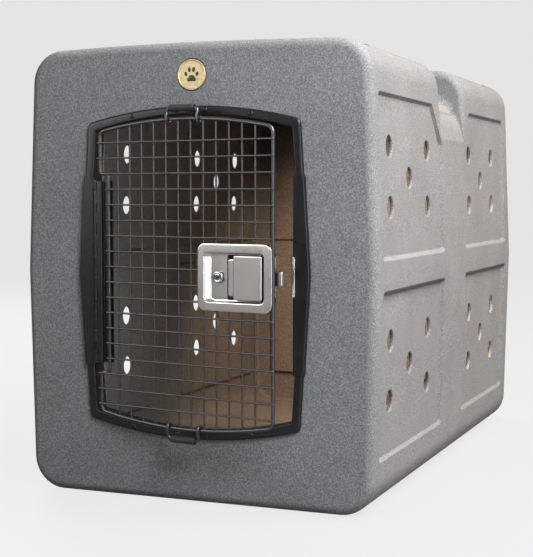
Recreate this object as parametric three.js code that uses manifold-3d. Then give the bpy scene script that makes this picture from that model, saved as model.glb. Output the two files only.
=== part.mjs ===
// Pet transport carrier: a one-piece moulded shell with a latching wire door.
// Millimetres. +X is right, -Y is the door end, +Z is up. The origin is on the ground,
// under the middle of the shell. The door stands ajar, as it does at rest in the record.
import * as THREE from 'three';
import { mergeVertices } from 'three/addons/utils/BufferGeometryUtils.js';
import Module from 'manifold-3d';

const wasm = await Module();
wasm.setup();

// ---------------------------------------------------------------- driving dimensions

const shell = {
  width: 520, topWidth: 495, baseWidth: 505, depth: 836,
  partingHeight: 312, shoulderHeight: 618, crownHeight: 622,
  wall: 5, cornerRadius: 46, edgeRadius: 13,
};
const saddle = { front: 343, back: 490, shoulderHeight: 562, crownHeight: 565, cornerRadius: 60 };
const panel = { recess: 7.5, bandHalfHeight: 21, topHeight: 238, bottomDepth: 243 };
const vent = { radius: 14.5, highRow: 170, lowRow: 89 };
const handle = { width: 72, thickness: 24, topHeight: 619, edgeRadius: 9 };
const pocket = { radius: 33, floorHeight: 612, sideOffset: 200, frontOffset: 48, backOffset: 747 };
const frame = {
  apexHalfWidth: 168.5, cornerHalfWidth: 156, cornerHalfHeight: 204, archHalfHeight: 224.5,
  flangeWidth: 12, flangeThickness: 4.7, returnDepth: 22, returnThickness: 2,
};
const sidePlate = { halfHeight: 130, innerEdge: 146.5, thickness: 1.6, overhang: 1.6, returnDepth: 16 };
const hinge = { x: -142.8, standOff: 8.5, halfLength: 124.5, knuckles: 17, radius: 3.1, pinRadius: 1.5 };
const door = {
  openAngle: 9.4, rimRadius: 2.5, wireRadius: 1.4, left: 9.2, right: 285, hingeSide: 23.3,
  cornerHalfHeight: 191.5, archHalfHeight: 205.5, jogTop: 134.5, jogBottom: -138,
  firstUpright: 39.7, uprightPitch: 19.92, uprights: 12,
  firstLevel: 176.5, levelPitch: 21.06, levels: 18,
};
const latch = { x: 228.7, z: -0.8, width: 113.6, height: 88, cornerRadius: 11, front: -4.4, sheet: 1.6 };
const paddle = { left: 226.9, right: 270.4, height: 58, tongue: 218.6, pinX: 265.7, pinY: 1.2 };
const bolt = { tail: 238, tip: 295.5, front: 5.2, back: 14, halfHeight: 9 };
const fork = { back: 22, left: [260, 263.4], right: [270.2, 273], windowEnd: 276, windowHalfHeight: 5 };
const housing = {
  left: 214, right: 284.5, slopeStart: 8, slopeEnd: 275, back: 24, sheet: 1.5, halfHeight: 31,
};
const lock = { x: 201.4, headRadius: 7.8, bodyRadius: 6, plugRadius: 4.6 };
const cam = { front: 8.3, back: 10.3, halfWidth: 5, reach: 22 };
const badge = { height: 577.3, radius: 20.6, thickness: 2.6, pocketRadius: 21.8, pocketDepth: 1.6 };

const gap = 0.3;
const frontFace = -shell.depth / 2;
const backFace = shell.depth / 2;
const doorCentre = (door.left + door.right) / 2;

const looks = {
  plastic: { color: 0x86888a, roughness: 0.75, metalness: 0 },
  powderCoat: { color: 0x34383b, roughness: 0.5, metalness: 0.2 },
  stainless: { color: 0xb9b4af, roughness: 0.32, metalness: 1 },
  zinc: { color: 0x9a9da0, roughness: 0.4, metalness: 0.9 },
  rubber: { color: 0x2a2a2b, roughness: 0.85, metalness: 0 },
  brass: { color: 0xc5b17d, roughness: 0.4, metalness: 0.9 },
};

// ---------------------------------------------------------------- solids and booleans

function toSolid(geometry) {
  const bare = geometry.clone();
  bare.deleteAttribute('normal');
  bare.deleteAttribute('uv');
  const merged = mergeVertices(bare, 1e-4);
  return new wasm.Manifold(new wasm.Mesh({
    numProp: 3,
    vertProperties: new Float32Array(merged.attributes.position.array),
    triVerts: new Uint32Array(merged.index.array),
  }));
}

function toGeometry(solid) {
  const mesh = solid.getMesh();
  const geometry = new THREE.BufferGeometry();
  geometry.setAttribute('position', new THREE.BufferAttribute(new Float32Array(mesh.vertProperties), 3));
  geometry.setIndex(new THREE.BufferAttribute(new Uint32Array(mesh.triVerts), 1));
  geometry.computeVertexNormals();
  return geometry;
}

function join(...geometries) {
  return geometries.map(toSolid).reduce((whole, next) => whole.add(next));
}

function cut(solid, ...geometries) {
  return geometries.map(toSolid).reduce((rest, next) => rest.subtract(next), solid);
}

// ---------------------------------------------------------------- outlines and sweeps

// A closed outline through corners given as [x, y, radius].
function roundedLoop(corners) {
  const outline = [];
  corners.forEach(([x, y, radius], index) => {
    const corner = new THREE.Vector2(x, y);
    if (!radius) {
      outline.push(corner);
      return;
    }
    const before = corners[(index + corners.length - 1) % corners.length];
    const after = corners[(index + 1) % corners.length];
    const toBefore = new THREE.Vector2(before[0] - x, before[1] - y).normalize();
    const toAfter = new THREE.Vector2(after[0] - x, after[1] - y).normalize();
    const halfAngle = Math.acos(toBefore.dot(toAfter)) / 2;
    const towardCentre = toBefore.clone().add(toAfter).normalize();
    const centre = towardCentre.multiplyScalar(radius / Math.sin(halfAngle)).add(corner);
    const start = toBefore.multiplyScalar(radius / Math.tan(halfAngle)).add(corner).sub(centre);
    const turn = Math.sign(start.cross(corner.clone().sub(centre))) * (Math.PI - 2 * halfAngle);
    const steps = radius < 8 ? 2 : radius < 20 ? 3 : 5;
    for (let step = 0; step <= steps; step += 1) {
      const spoke = start.clone().rotateAround(new THREE.Vector2(), (turn * step) / steps);
      outline.push(spoke.add(centre));
    }
  });
  return outline;
}

function planPoints(pairs) {
  return pairs.map(([x, y]) => new THREE.Vector2(x, y));
}

function roundedRectangle(left, right, bottom, top, radius) {
  return roundedLoop([
    [left, bottom, radius], [right, bottom, radius], [right, top, radius], [left, top, radius],
  ]);
}

function shapeWithHoles(outline, ...holes) {
  const shape = new THREE.Shape(outline);
  shape.holes = holes.map((hole) => new THREE.Path(hole));
  return shape;
}

// Extrudes a shape from start to end along its own third axis, with rounded rims if asked.
function extrude(shape, start, end, rounding = 0, roundingSteps = 2) {
  const geometry = new THREE.ExtrudeGeometry(shape, {
    depth: end - start - 2 * rounding,
    bevelEnabled: rounding > 0,
    bevelThickness: rounding,
    bevelSize: rounding,
    bevelOffset: -rounding,
    bevelSegments: roundingSteps,
    curveSegments: 12,
  });
  return geometry.translate(0, 0, start + rounding);
}

// The shape is drawn in X and Z; start and end are on Y.
function extrudeAlongY(shape, start, end, rounding, roundingSteps) {
  return extrude(shape, -end, -start, rounding, roundingSteps).rotateX(Math.PI / 2);
}

// The shape is drawn in Y and Z; start and end are on X.
function extrudeAlongX(shape, start, end) {
  const turn = new THREE.Matrix4().makeBasis(
    new THREE.Vector3(0, 1, 0), new THREE.Vector3(0, 0, 1), new THREE.Vector3(1, 0, 0));
  return extrude(shape, start, end).applyMatrix4(turn);
}

function box(left, right, front, back, bottom, top) {
  return new THREE.BoxGeometry(right - left, back - front, top - bottom)
    .translate((left + right) / 2, (front + back) / 2, (bottom + top) / 2);
}

function rodAlongX(radius, start, end, y, z, sides = 8) {
  return new THREE.CylinderGeometry(radius, radius, end - start, sides)
    .rotateZ(-Math.PI / 2).translate((start + end) / 2, y, z);
}

function rodAlongY(radius, start, end, x, z, sides = 12) {
  return new THREE.CylinderGeometry(radius, radius, end - start, sides)
    .translate(x, (start + end) / 2, z);
}

function rodAlongZ(radius, start, end, x, y, sides = 8) {
  return new THREE.CylinderGeometry(radius, radius, end - start, sides)
    .rotateX(Math.PI / 2).translate(x, y, (start + end) / 2);
}

// A path that puts one ring of the swept wire at each of its points.
class PointPath extends THREE.Curve {
  constructor(points, closed = false) {
    super();
    this.points = points;
    this.closed = closed;
  }

  get spans() {
    return this.closed ? this.points.length : this.points.length - 1;
  }

  getPoint(fraction, target = new THREE.Vector3()) {
    const place = fraction * this.spans;
    const index = Math.min(Math.floor(place), this.spans - 1);
    const next = this.points[(index + 1) % this.points.length];
    return target.copy(this.points[index]).lerp(next, place - index);
  }

  getPointAt(fraction, target) {
    return this.getPoint(fraction, target);
  }
}

function wireAlong(points, radius, sides = 6) {
  const path = new PointPath(points);
  const section = new THREE.Shape();
  for (let side = 0; side < sides; side += 1) {
    const angle = (2 * Math.PI * side) / sides;
    const point = [radius * Math.cos(angle), radius * Math.sin(angle)];
    if (side === 0) section.moveTo(...point);
    else section.lineTo(...point);
  }
  return new THREE.ExtrudeGeometry(section, { steps: path.spans, extrudePath: path });
}

function coil(radius, wireRadius, length, turns, stepsPerTurn) {
  const points = [];
  const steps = turns * stepsPerTurn;
  for (let step = 0; step <= steps; step += 1) {
    const angle = (2 * Math.PI * step) / stepsPerTurn;
    const along = wireRadius + ((length - 2 * wireRadius) * step) / steps;
    points.push(new THREE.Vector3(radius * Math.cos(angle), radius * Math.sin(angle), along));
  }
  return wireAlong(points, wireRadius, 4);
}

// ---------------------------------------------------------------- moulded shell

function halfWidthAt(height) {
  const middle = shell.width / 2;
  if (height < shell.partingHeight) {
    return shell.baseWidth / 2 + ((middle - shell.baseWidth / 2) * height) / shell.partingHeight;
  }
  const share = (height - shell.partingHeight) / (shell.shoulderHeight - shell.partingHeight);
  return middle + (shell.topWidth / 2 - middle) * share;
}

// Front view of the shell or of its saddle, drawn in by inset.
function shellOutline(inset, { shoulderHeight, crownHeight, cornerRadius }) {
  const base = halfWidthAt(0) - inset;
  const middle = halfWidthAt(shell.partingHeight) - inset;
  const shoulder = halfWidthAt(shoulderHeight) - inset;
  const baseRadius = shell.cornerRadius - inset;
  const topRadius = cornerRadius - inset;
  return roundedLoop([
    [-base, inset, baseRadius], [base, inset, baseRadius],
    [middle, shell.partingHeight, 0], [shoulder, shoulderHeight - inset, topRadius],
    [0, crownHeight - inset, 0],
    [-shoulder, shoulderHeight - inset, topRadius], [-middle, shell.partingHeight, 0],
  ]);
}

// Distances from the front face along the shell.
function fromFront(distance) {
  return frontFace + distance;
}

function shellBody(inset) {
  const block = new THREE.Shape(shellOutline(inset, shell));
  const bridge = new THREE.Shape(shellOutline(inset, saddle));
  const rounding = shell.edgeRadius - inset;
  const steps = inset ? 1 : 2;
  const overlap = 2 * shell.edgeRadius;
  return join(
    extrudeAlongY(block, fromFront(inset), fromFront(saddle.front - inset), rounding, steps),
    extrudeAlongY(bridge, fromFront(saddle.front - overlap), fromFront(saddle.back + overlap)),
    extrudeAlongY(block, fromFront(saddle.back + inset), backFace - inset, rounding, steps),
  );
}

// The four recessed panels of a side wall, as outlines in Y and Z drawn out by grow.
function sidePanelOutlines(grow) {
  const low = shell.partingHeight - panel.bottomDepth - grow;
  const underBand = shell.partingHeight - panel.bandHalfHeight + grow;
  const overBand = shell.partingHeight + panel.bandHalfHeight - grow;
  const high = shell.partingHeight + panel.topHeight + grow;
  const chamfer = high - 56;
  const [frontStart, frontEnd, frontShoulder] = [28 - grow, 348 + grow, 296 + grow];
  const [backStart, backEnd, backShoulder] = [482 - grow, 789 + grow, 532 - grow];
  const outlines = [
    [[frontStart, low], [frontEnd, low], [frontEnd, underBand], [frontStart, underBand]],
    [[backStart, low], [backEnd, low], [backEnd, underBand], [backStart, underBand]],
    [[frontStart, overBand], [frontEnd, overBand], [frontEnd, chamfer], [frontShoulder, high],
      [frontStart, high]],
    [[backStart, overBand], [backEnd, overBand], [backEnd, high], [backShoulder, high],
      [backStart, chamfer]],
  ];
  return outlines.map((points) => points.map(([y, z]) => new THREE.Vector2(fromFront(y), z)));
}

// Makes a prism that starts depth inside a leaning side wall; side is 1 right or -1 left.
function wallPrism(outline, side, depth, reach) {
  const geometry = mergeVertices(bareCopy(extrudeAlongX(new THREE.Shape(outline), -depth, reach)));
  const { position } = geometry.attributes;
  for (let index = 0; index < position.count; index += 1) {
    const wall = halfWidthAt(position.getZ(index));
    position.setX(index, side * (wall + position.getX(index)));
  }
  if (side < 0) geometry.index.array.reverse();
  return geometry;
}

function bareCopy(geometry) {
  const bare = geometry.clone();
  bare.deleteAttribute('normal');
  bare.deleteAttribute('uv');
  return bare;
}

function rearPanelPrisms(grow, depth, reach) {
  const halfWidth = 212 + grow;
  const low = shell.partingHeight - panel.bottomDepth - grow;
  const underBand = shell.partingHeight - panel.bandHalfHeight + grow;
  const overBand = shell.partingHeight + panel.bandHalfHeight - grow;
  const high = shell.partingHeight + panel.topHeight + grow;
  return [[low, underBand], [overBand, high]].map(([bottom, top]) => box(
    -halfWidth, halfWidth, backFace - depth, backFace + reach, bottom, top));
}

function sidePanelPrisms(grow, depth, reach) {
  return [1, -1].flatMap((side) => sidePanelOutlines(grow).map(
    (outline) => wallPrism(outline, side, depth, reach)));
}

// Five holes to a panel, as the spots on a die.
function ventPlaces(left, right) {
  const middle = (left + right) / 2;
  return [1, -1].flatMap((half) => {
    const high = shell.partingHeight + half * vent.highRow;
    const low = shell.partingHeight + half * vent.lowRow;
    return [[left, high], [right, high], [middle, (high + low) / 2], [left, low], [right, low]];
  });
}

function ventHoles() {
  const reach = 30;
  const sides = 12;
  const sidePlaces = [...ventPlaces(86.5, 277), ...ventPlaces(542, 711.5)];
  const sideHoles = sidePlaces.flatMap(([y, z]) => [1, -1].map((side) => {
    const wall = side * halfWidthAt(z);
    return rodAlongX(vent.radius, wall - reach, wall + reach, fromFront(y), z, sides);
  }));
  const rearHoles = ventPlaces(-120, 120).map(([x, z]) => rodAlongY(
    vent.radius, backFace - reach, backFace + reach, x, z, sides));
  return [...sideHoles, ...rearHoles];
}

function stackingPockets(radius, floorHeight) {
  return [pocket.frontOffset, pocket.backOffset].flatMap((y) => [1, -1].map((side) => rodAlongZ(
    radius, floorHeight, shell.crownHeight + 5, side * pocket.sideOffset, fromFront(y), 20)));
}

function makeBodyShell() {
  const wall = shell.wall;
  const skin = panel.recess + wall;
  const cavity = cut(
    shellBody(wall),
    ...sidePanelPrisms(wall, skin, wall),
    ...rearPanelPrisms(wall, skin, wall),
    ...stackingPockets(pocket.radius + wall, pocket.floorHeight - wall),
  );
  const opening = frame.flangeWidth - frame.returnThickness - 0.5;
  const collarDepth = 30;
  const collar = extrudeAlongY(
    shapeWithHoles(barrelOutline(opening - wall)), fromFront(1), fromFront(collarDepth), 1);
  const grip = extrudeAlongY(
    new THREE.Shape(roundedRectangle(-handle.width / 2, handle.width / 2,
      handle.topHeight - handle.thickness, handle.topHeight, handle.edgeRadius)),
    fromFront(saddle.front - wall), fromFront(saddle.back + wall));
  const hollow = shellBody(0).subtract(cavity).add(toSolid(collar)).add(toSolid(grip));
  return toGeometry(cut(
    hollow,
    ...sidePanelPrisms(0, panel.recess, wall),
    ...rearPanelPrisms(0, panel.recess, wall),
    ...stackingPockets(pocket.radius, pocket.floorHeight),
    ...ventHoles(),
    extrudeAlongY(new THREE.Shape(barrelOutline(opening)), fromFront(-1), fromFront(collarDepth + 1)),
    rodAlongY(badge.pocketRadius, fromFront(-1), fromFront(badge.pocketDepth), 0, badge.height, 32),
    ...rivetPlaces().map(([x, z]) => rodAlongY(rivet.hole, fromFront(-1), fromFront(wall + 1), x, z, 8)),
  ));
}

// ---------------------------------------------------------------- door frame on the shell

// The barrel-sided outline of the door frame, drawn in by inset.
function barrelOutline(inset) {
  const apex = frame.apexHalfWidth - inset;
  const corner = frame.cornerHalfWidth - inset;
  const cornerHeight = frame.cornerHalfHeight - inset;
  const archHeight = frame.archHalfHeight - inset;
  const radius = Math.max(8 - inset / 2, 2.5);
  const arch = [-0.75, -0.5, -0.25, 0, 0.25, 0.5, 0.75].map((share) => [
    share * corner, cornerHeight + (archHeight - cornerHeight) * (1 - share * share), 0,
  ]);
  const top = [...arch].reverse();
  const bottom = arch.map(([x, height]) => [x, -height, 0]);
  return roundedLoop([
    [corner, -cornerHeight, radius], [apex, 0, 40], [corner, cornerHeight, radius], ...top,
    [-corner, cornerHeight, radius], [-apex, 0, 40], [-corner, -cornerHeight, radius], ...bottom,
  ]).map(({ x, y }) => new THREE.Vector2(x, y + shell.partingHeight));
}

const rivet = { headRadius: 3.4, headHeight: 0.9, shank: 1.6, hole: 1.9 };

function rivetPlaces() {
  const height = frame.archHalfHeight - frame.flangeWidth / 2;
  const drop = frame.archHalfHeight - frame.cornerHalfHeight;
  return [1, -1].flatMap((end) => [-87, -21, 21, 87].map((x) => {
    const arch = height - drop * (x / frame.cornerHalfWidth) ** 2;
    return [x, shell.partingHeight + end * arch];
  }));
}

function makeDoorFrame() {
  const inner = barrelOutline(frame.flangeWidth);
  const flange = extrudeAlongY(shapeWithHoles(barrelOutline(0), inner),
    fromFront(-frame.flangeThickness - gap), fromFront(-gap), 1.5, 1);
  const inside = extrudeAlongY(
    shapeWithHoles(barrelOutline(frame.flangeWidth - frame.returnThickness), inner),
    fromFront(-2.5), fromFront(frame.returnDepth));
  const holes = rivetPlaces().map(([x, z]) => rodAlongY(rivet.hole, fromFront(-8), fromFront(1), x, z, 8));
  return toGeometry(cut(join(flange, inside), ...holes));
}

function makeFrameRivet() {
  const { headRadius, headHeight, shank } = rivet;
  const rim = new THREE.Vector2(headRadius, 0);
  const profile = [
    new THREE.Vector2(0, -11), new THREE.Vector2(shank, -11), new THREE.Vector2(shank, 0), rim,
    new THREE.Vector2(headRadius * 0.8, headHeight * 0.7), new THREE.Vector2(0, headHeight),
  ];
  return new THREE.LatheGeometry(profile, 10).rotateX(Math.PI);
}

// A plate clipped over one side of the frame; side is 1 right or -1 left.
function makeSidePlate(side) {
  const front = fromFront(-frame.flangeThickness - 2 * gap - sidePlate.thickness);
  const back = front + sidePlate.thickness;
  const bottom = shell.partingHeight - sidePlate.halfHeight;
  const top = shell.partingHeight + sidePlate.halfHeight;
  const [inner, reach] = [sidePlate.innerEdge, frame.apexHalfWidth + 10];
  const near = Math.min(side * inner, side * reach);
  const far = Math.max(side * inner, side * reach);
  const half = toSolid(box(near, far, front, fromFront(sidePlate.returnDepth), bottom, top));
  const outside = barrelOutline(-sidePlate.overhang);
  const lip = shapeWithHoles(outside, barrelOutline(-2 * gap));
  const face = toSolid(extrudeAlongY(new THREE.Shape(outside), front, back)).intersect(half);
  const clip = toSolid(extrudeAlongY(lip, front, fromFront(-2 * gap))).intersect(half);
  const innerWall = [side * inner, side * (inner + 1.2)].sort((a, b) => a - b);
  const wall = box(...innerWall, front, fromFront(sidePlate.returnDepth), bottom, top);
  const plate = face.add(clip).add(toSolid(wall));
  return toGeometry(side > 0 ? cut(plate, boltSlot(inner - 1, inner + 3)) : plate);
}

// The passage that the bolt takes through the latch side of the frame.
function boltSlot(left, right) {
  const middle = shell.partingHeight + latch.z;
  const halfHeight = bolt.halfHeight + 2;
  const front = fromFront(-hinge.standOff + bolt.front - 1.2);
  const back = fromFront(-hinge.standOff + bolt.back + 2.5);
  return box(left, right, front, back, middle - halfHeight, middle + halfHeight);
}

function makeStrikePlate() {
  const plateFront = -frame.flangeThickness - 2 * gap - sidePlate.thickness - gap;
  const left = sidePlate.innerEdge - 1.5;
  const right = sidePlate.innerEdge - gap;
  const lipFront = plateFront - 1.4;
  const middle = shell.partingHeight + latch.z;
  const halfHeight = 26;
  const outline = [
    [left, lipFront], [right + 4, lipFront], [right + 4, plateFront], [right, plateFront],
    [right, 14], [left, 14],
  ].map(([x, y]) => [x, fromFront(y)]);
  const plate = extrude(new THREE.Shape(planPoints(outline)), middle - halfHeight, middle + halfHeight);
  return toGeometry(cut(toSolid(plate), boltSlot(left - 1, right + 1)));
}

// ---------------------------------------------------------------- piano hinge

function hingeKnuckles(first) {
  const pitch = (2 * hinge.halfLength) / hinge.knuckles;
  const spans = [];
  for (let index = first; index < hinge.knuckles; index += 2) {
    const bottom = -hinge.halfLength + index * pitch;
    spans.push([bottom + gap / 2, bottom + pitch - gap / 2]);
  }
  return spans;
}

function hingeLeaf(strip, first, bridgeTo) {
  const rings = hingeKnuckles(first).map(([bottom, top]) => rodAlongZ(hinge.radius, bottom, top, 0, 0));
  const bridges = hingeKnuckles(first).map(([bottom, top]) => bridgeTo(bottom, top));
  const bore = rodAlongZ(hinge.pinRadius + gap, -hinge.halfLength - 1, hinge.halfLength + 1, 0, 0);
  return toGeometry(cut(join(strip, ...rings, ...bridges), bore));
}

// Both leaves are drawn with the hinge axis at the origin of X and Y.
function makeFrameLeaf() {
  const [left, right] = [-3.1, -1.8];
  const strip = box(left, right, 5.5, 22, -hinge.halfLength, hinge.halfLength);
  return hingeLeaf(strip, 0, (bottom, top) => box(left, right, -0.5, 6, bottom, top));
}

function makeDoorLeaf() {
  const [front, back] = [-3.1, -1.8];
  const outline = planPoints([
    [5.2, front], [12.5, front], [12.5, 2.9], [28, 2.9], [28, 4.2], [11.2, 4.2], [11.2, back], [5.2, back],
  ]);
  const strip = extrude(new THREE.Shape(outline), -hinge.halfLength, hinge.halfLength);
  return hingeLeaf(strip, 1, (bottom, top) => box(1, 6, front, back, bottom, top));
}

// ---------------------------------------------------------------- wire door, in its own frame
// X runs from the hinge axis to the latch edge, Y runs through the door, Z is 0 at mid-height.

function rimHeightAt(x) {
  const share = (x - doorCentre) / (door.right - doorCentre);
  const rise = door.archHalfHeight - door.cornerHalfHeight;
  return door.cornerHalfHeight + rise * (1 - share * share);
}

function rimPath() {
  const { left, right, hingeSide, jogTop, jogBottom, cornerHalfHeight } = door;
  const shares = [0.125, 0.25, 0.375, 0.5, 0.625, 0.75, 0.875];
  const along = shares.map((share) => left + (right - left) * share);
  const top = along.map((x) => [x, rimHeightAt(x), 0]).reverse();
  const bottom = along.map((x) => [x, -rimHeightAt(x), 0]);
  const loop = roundedLoop([
    [right, 60, 0], [right, cornerHalfHeight, 10], ...top,
    [left, cornerHalfHeight, 8], [left, jogTop, 5], [hingeSide, jogTop, 6],
    [hingeSide, jogBottom, 6], [left, jogBottom, 5], [left, -cornerHalfHeight, 8], ...bottom,
    [right, -cornerHalfHeight, 10], [right, -60, 0],
  ]);
  return loop.map(({ x, y }) => new THREE.Vector3(x, 0, y));
}

function makeWirePanel() {
  const path = new PointPath(rimPath(), true);
  const rim = new THREE.TubeGeometry(path, path.spans, door.rimRadius, 6, true);
  const wires = [];
  for (let index = 0; index < door.uprights; index += 1) {
    const x = door.firstUpright + index * door.uprightPitch;
    wires.push(rodAlongZ(door.wireRadius, -rimHeightAt(x), rimHeightAt(x), x, 0, 5));
  }
  const levelPlane = -2 * door.wireRadius - gap;
  for (let index = 0; index < door.levels; index += 1) {
    const z = door.firstLevel - index * door.levelPitch;
    const besideHinge = z < door.jogTop + 1 && z > door.jogBottom;
    const start = (besideHinge ? door.hingeSide : door.left) - 2.5;
    wires.push(rodAlongX(door.wireRadius, start, door.right, levelPlane, z, 5));
  }
  const window = box(
    latch.x - latch.width / 2 - gap, door.right + 1, -10, 1.8,
    latch.z - latch.height / 2 - gap, latch.z + latch.height / 2 + gap);
  return toGeometry(cut(join(...wires), window).add(toSolid(rim)));
}

// A wire loop hooked on the rim at two places; end is 1 for the top or -1 for the bottom.
const stop = {
  centre: 147.7, spread: 24.3, sleeveHeight: 219.5, sleeveDepth: -2.8, wire: 2.2, hook: 5, sleeve: 4.8,
};

function makeStopLoop(end) {
  const rimHeight = rimHeightAt(stop.centre + stop.spread);
  const legPoints = (side) => {
    const x = stop.centre + side * stop.spread;
    const hook = [10, -30, -65, -100, -140, -180].map((degrees) => {
      const angle = THREE.MathUtils.degToRad(degrees);
      return [x, stop.hook * Math.cos(angle), rimHeight + stop.hook * Math.sin(angle)];
    });
    const rise = [
      [x, -4.3, rimHeight + 5], [x, stop.sleeveDepth - 0.6, stop.sleeveHeight - 4.5],
      [x - side * 1.5, stop.sleeveDepth, stop.sleeveHeight - 1.5],
      [x - side * 4.5, stop.sleeveDepth, stop.sleeveHeight],
    ];
    return [...hook, ...rise];
  };
  const points = [...legPoints(-1), ...legPoints(1).reverse()];
  return wireAlong(points.map(([x, y, z]) => new THREE.Vector3(x, y, end * z)), stop.wire);
}

function makeStopSleeve(end) {
  const halfLength = 19.5;
  const z = end * stop.sleeveHeight;
  const rubber = rodAlongX(
    stop.sleeve, stop.centre - halfLength, stop.centre + halfLength, stop.sleeveDepth, z, 14);
  const bore = rodAlongX(
    stop.wire + gap, stop.centre - halfLength - 1, stop.centre + halfLength + 1, stop.sleeveDepth, z, 10);
  return toGeometry(cut(toSolid(rubber), bore));
}

// ---------------------------------------------------------------- paddle latch on the door

function latchRectangle(centre, width, height, radius) {
  return roundedRectangle(
    centre - width / 2, centre + width / 2, latch.z - height / 2, latch.z + height / 2, radius);
}

const tray = { x: 227.8, width: 91, height: 63.5, wall: 1.5, floor: 2.5, landEnd: 210.3, landStart: 189.5 };
const studPlaces = [-1, 1].flatMap((across) => [-1, 1].map(
  (up) => [latch.x + across * 49.5, latch.z + up * 38.5]));

function makeMountingPlate() {
  const clearance = 2 * tray.wall + 1.5;
  const window = latchRectangle(tray.x, tray.width + clearance, tray.height + clearance, 6);
  const front = latch.front + latch.sheet + gap;
  const plate = extrudeAlongY(
    shapeWithHoles(latchRectangle(latch.x, latch.width - 7, latch.height, 4), window), front, front + 2);
  const holes = studPlaces.map(([x, z]) => rodAlongY(2.3, front - 1, front + 3, x, z, 8));
  return toGeometry(cut(toSolid(plate), ...holes));
}

function makeLatchPan() {
  const openingOutline = latchRectangle(tray.x, tray.width, tray.height, 6);
  const floorBack = tray.floor + tray.wall;
  const flange = extrudeAlongY(
    shapeWithHoles(latchRectangle(latch.x, latch.width, latch.height, latch.cornerRadius), openingOutline),
    latch.front, latch.front + latch.sheet, 0.5, 1);
  const wallOutline = latchRectangle(
    tray.x, tray.width + 2 * tray.wall, tray.height + 2 * tray.wall, 7.5);
  const wall = extrudeAlongY(shapeWithHoles(wallOutline, openingOutline), latch.front + 0.8, floorBack);
  const left = tray.x - tray.width / 2 - 0.5;
  const [bottom, top] = [latch.z - tray.height / 2 - 0.5, latch.z + tray.height / 2 + 0.5];
  const land = box(left, tray.landEnd, tray.floor, floorBack, bottom, top);
  const ramp = extrude(new THREE.Shape(planPoints([
    [left, latch.front + 1.2], [tray.landStart, tray.floor + 0.5], [left, tray.floor + 0.5],
  ])), bottom, top);
  const studs = studPlaces.map(([x, z]) => rodAlongY(1.9, latch.front + 1, 5, x, z, 8));
  const pinHoles = rodAlongZ(paddlePin.hole, bottom - 5, top + 5, paddle.pinX, paddle.pinY);
  const lockHole = rodAlongY(lock.bodyRadius + 0.2, tray.floor - 1, floorBack + 1, lock.x, latch.z, 16);
  return toGeometry(cut(join(flange, wall, land, ramp, ...studs), pinHoles, lockHole));
}

const paddlePin = { radius: 1.6, hole: 1.8 };

function makePaddle() {
  const face = extrudeAlongY(
    new THREE.Shape(roundedRectangle(paddle.left, paddle.right,
      latch.z - paddle.height / 2, latch.z + paddle.height / 2, 2.5)),
    latch.front + 0.5, latch.front + 2.1, 0.6, 2);
  const tongue = extrudeAlongY(
    new THREE.Shape(roundedRectangle(paddle.tongue, paddle.left + 2, latch.z - 24, latch.z + 24, 4)),
    latch.front + 1.9, latch.front + 3.4, 0.4, 1);
  const hubs = [[-28, -24], [-4, 4], [24, 28]].map(([bottom, top]) => rodAlongZ(
    3.8, latch.z + bottom, latch.z + top, paddle.pinX, paddle.pinY, 10));
  const arm = box(paddle.pinX - 1.5, paddle.pinX + 1.5, paddle.pinY + 2.5, paddle.pinY + 19,
    latch.z - 4, latch.z + 4);
  const bore = rodAlongZ(paddlePin.hole, latch.z - 40, latch.z + 40, paddle.pinX, paddle.pinY);
  return toGeometry(cut(join(face, tongue, ...hubs, arm), bore));
}

function makePaddlePin() {
  const halfLength = tray.height / 2 + tray.wall;
  return rodAlongZ(paddlePin.radius, latch.z - halfLength, latch.z + halfLength,
    paddle.pinX, paddle.pinY);
}

function makePaddleSpring() {
  return coil(2.5, 0.45, 9, 5, 6).translate(paddle.pinX, paddle.pinY, latch.z + 8);
}

// A folded sheet box behind the paddle, open toward the front.
function makeBoltHousing() {
  const { left, right, slopeStart, slopeEnd, back, sheet, halfHeight } = housing;
  const front = tray.floor + tray.wall + gap;
  const [bottom, top] = [latch.z - halfHeight, latch.z + halfHeight];
  const outside = [[left, back], [slopeEnd, back], [right, slopeStart], [right, front - 1]];
  const inside = [
    [right - sheet, front - 1], [right - sheet, slopeStart - 0.6],
    [slopeEnd - 0.6, back - sheet], [left, back - sheet],
  ];
  const wrap = planPoints([...outside, ...inside]);
  const end = planPoints([[left, front], ...outside.slice(0, 3), [right, front]]);
  const wrapper = extrude(new THREE.Shape(wrap), bottom, top);
  const leftEnd = box(left, left + sheet, front, back - sheet / 2, bottom, top);
  const roof = extrude(new THREE.Shape(end), top - sheet, top);
  const floor = extrude(new THREE.Shape(end), bottom, bottom + sheet);
  const slot = box(slopeEnd, right + 1, bolt.front - 0.5, bolt.back + 0.5,
    latch.z - bolt.halfHeight - 0.8, latch.z + bolt.halfHeight + 0.8);
  const camSlot = box(left - 1, left + sheet + 1, cam.front - 0.6, cam.back + 0.6,
    latch.z - cam.reach + 1, latch.z + cam.halfWidth + 2);
  return toGeometry(cut(join(wrapper, leftEnd, roof, floor), slot, camSlot));
}

// A flat bar with a bevelled tip and a fork that the paddle's arm works in.
function makeLatchBolt() {
  const { tail, tip, front, back, halfHeight } = bolt;
  const outline = planPoints([
    [tail, front], [tip, front], [tip, front + 5], [tip - 6, back], [tail, back],
  ]);
  const [bottom, top] = [latch.z - halfHeight, latch.z + halfHeight];
  const bar = extrude(new THREE.Shape(outline), bottom, top);
  const lugs = [fork.left, fork.right].map(([left, right]) => box(
    left, right, back - 1, fork.back, bottom, top));
  const window = box(fork.left[1], fork.windowEnd, front - 1, back + 1,
    latch.z - fork.windowHalfHeight, latch.z + fork.windowHalfHeight);
  return toGeometry(cut(join(bar, ...lugs), window));
}

// ---------------------------------------------------------------- key lock

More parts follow.
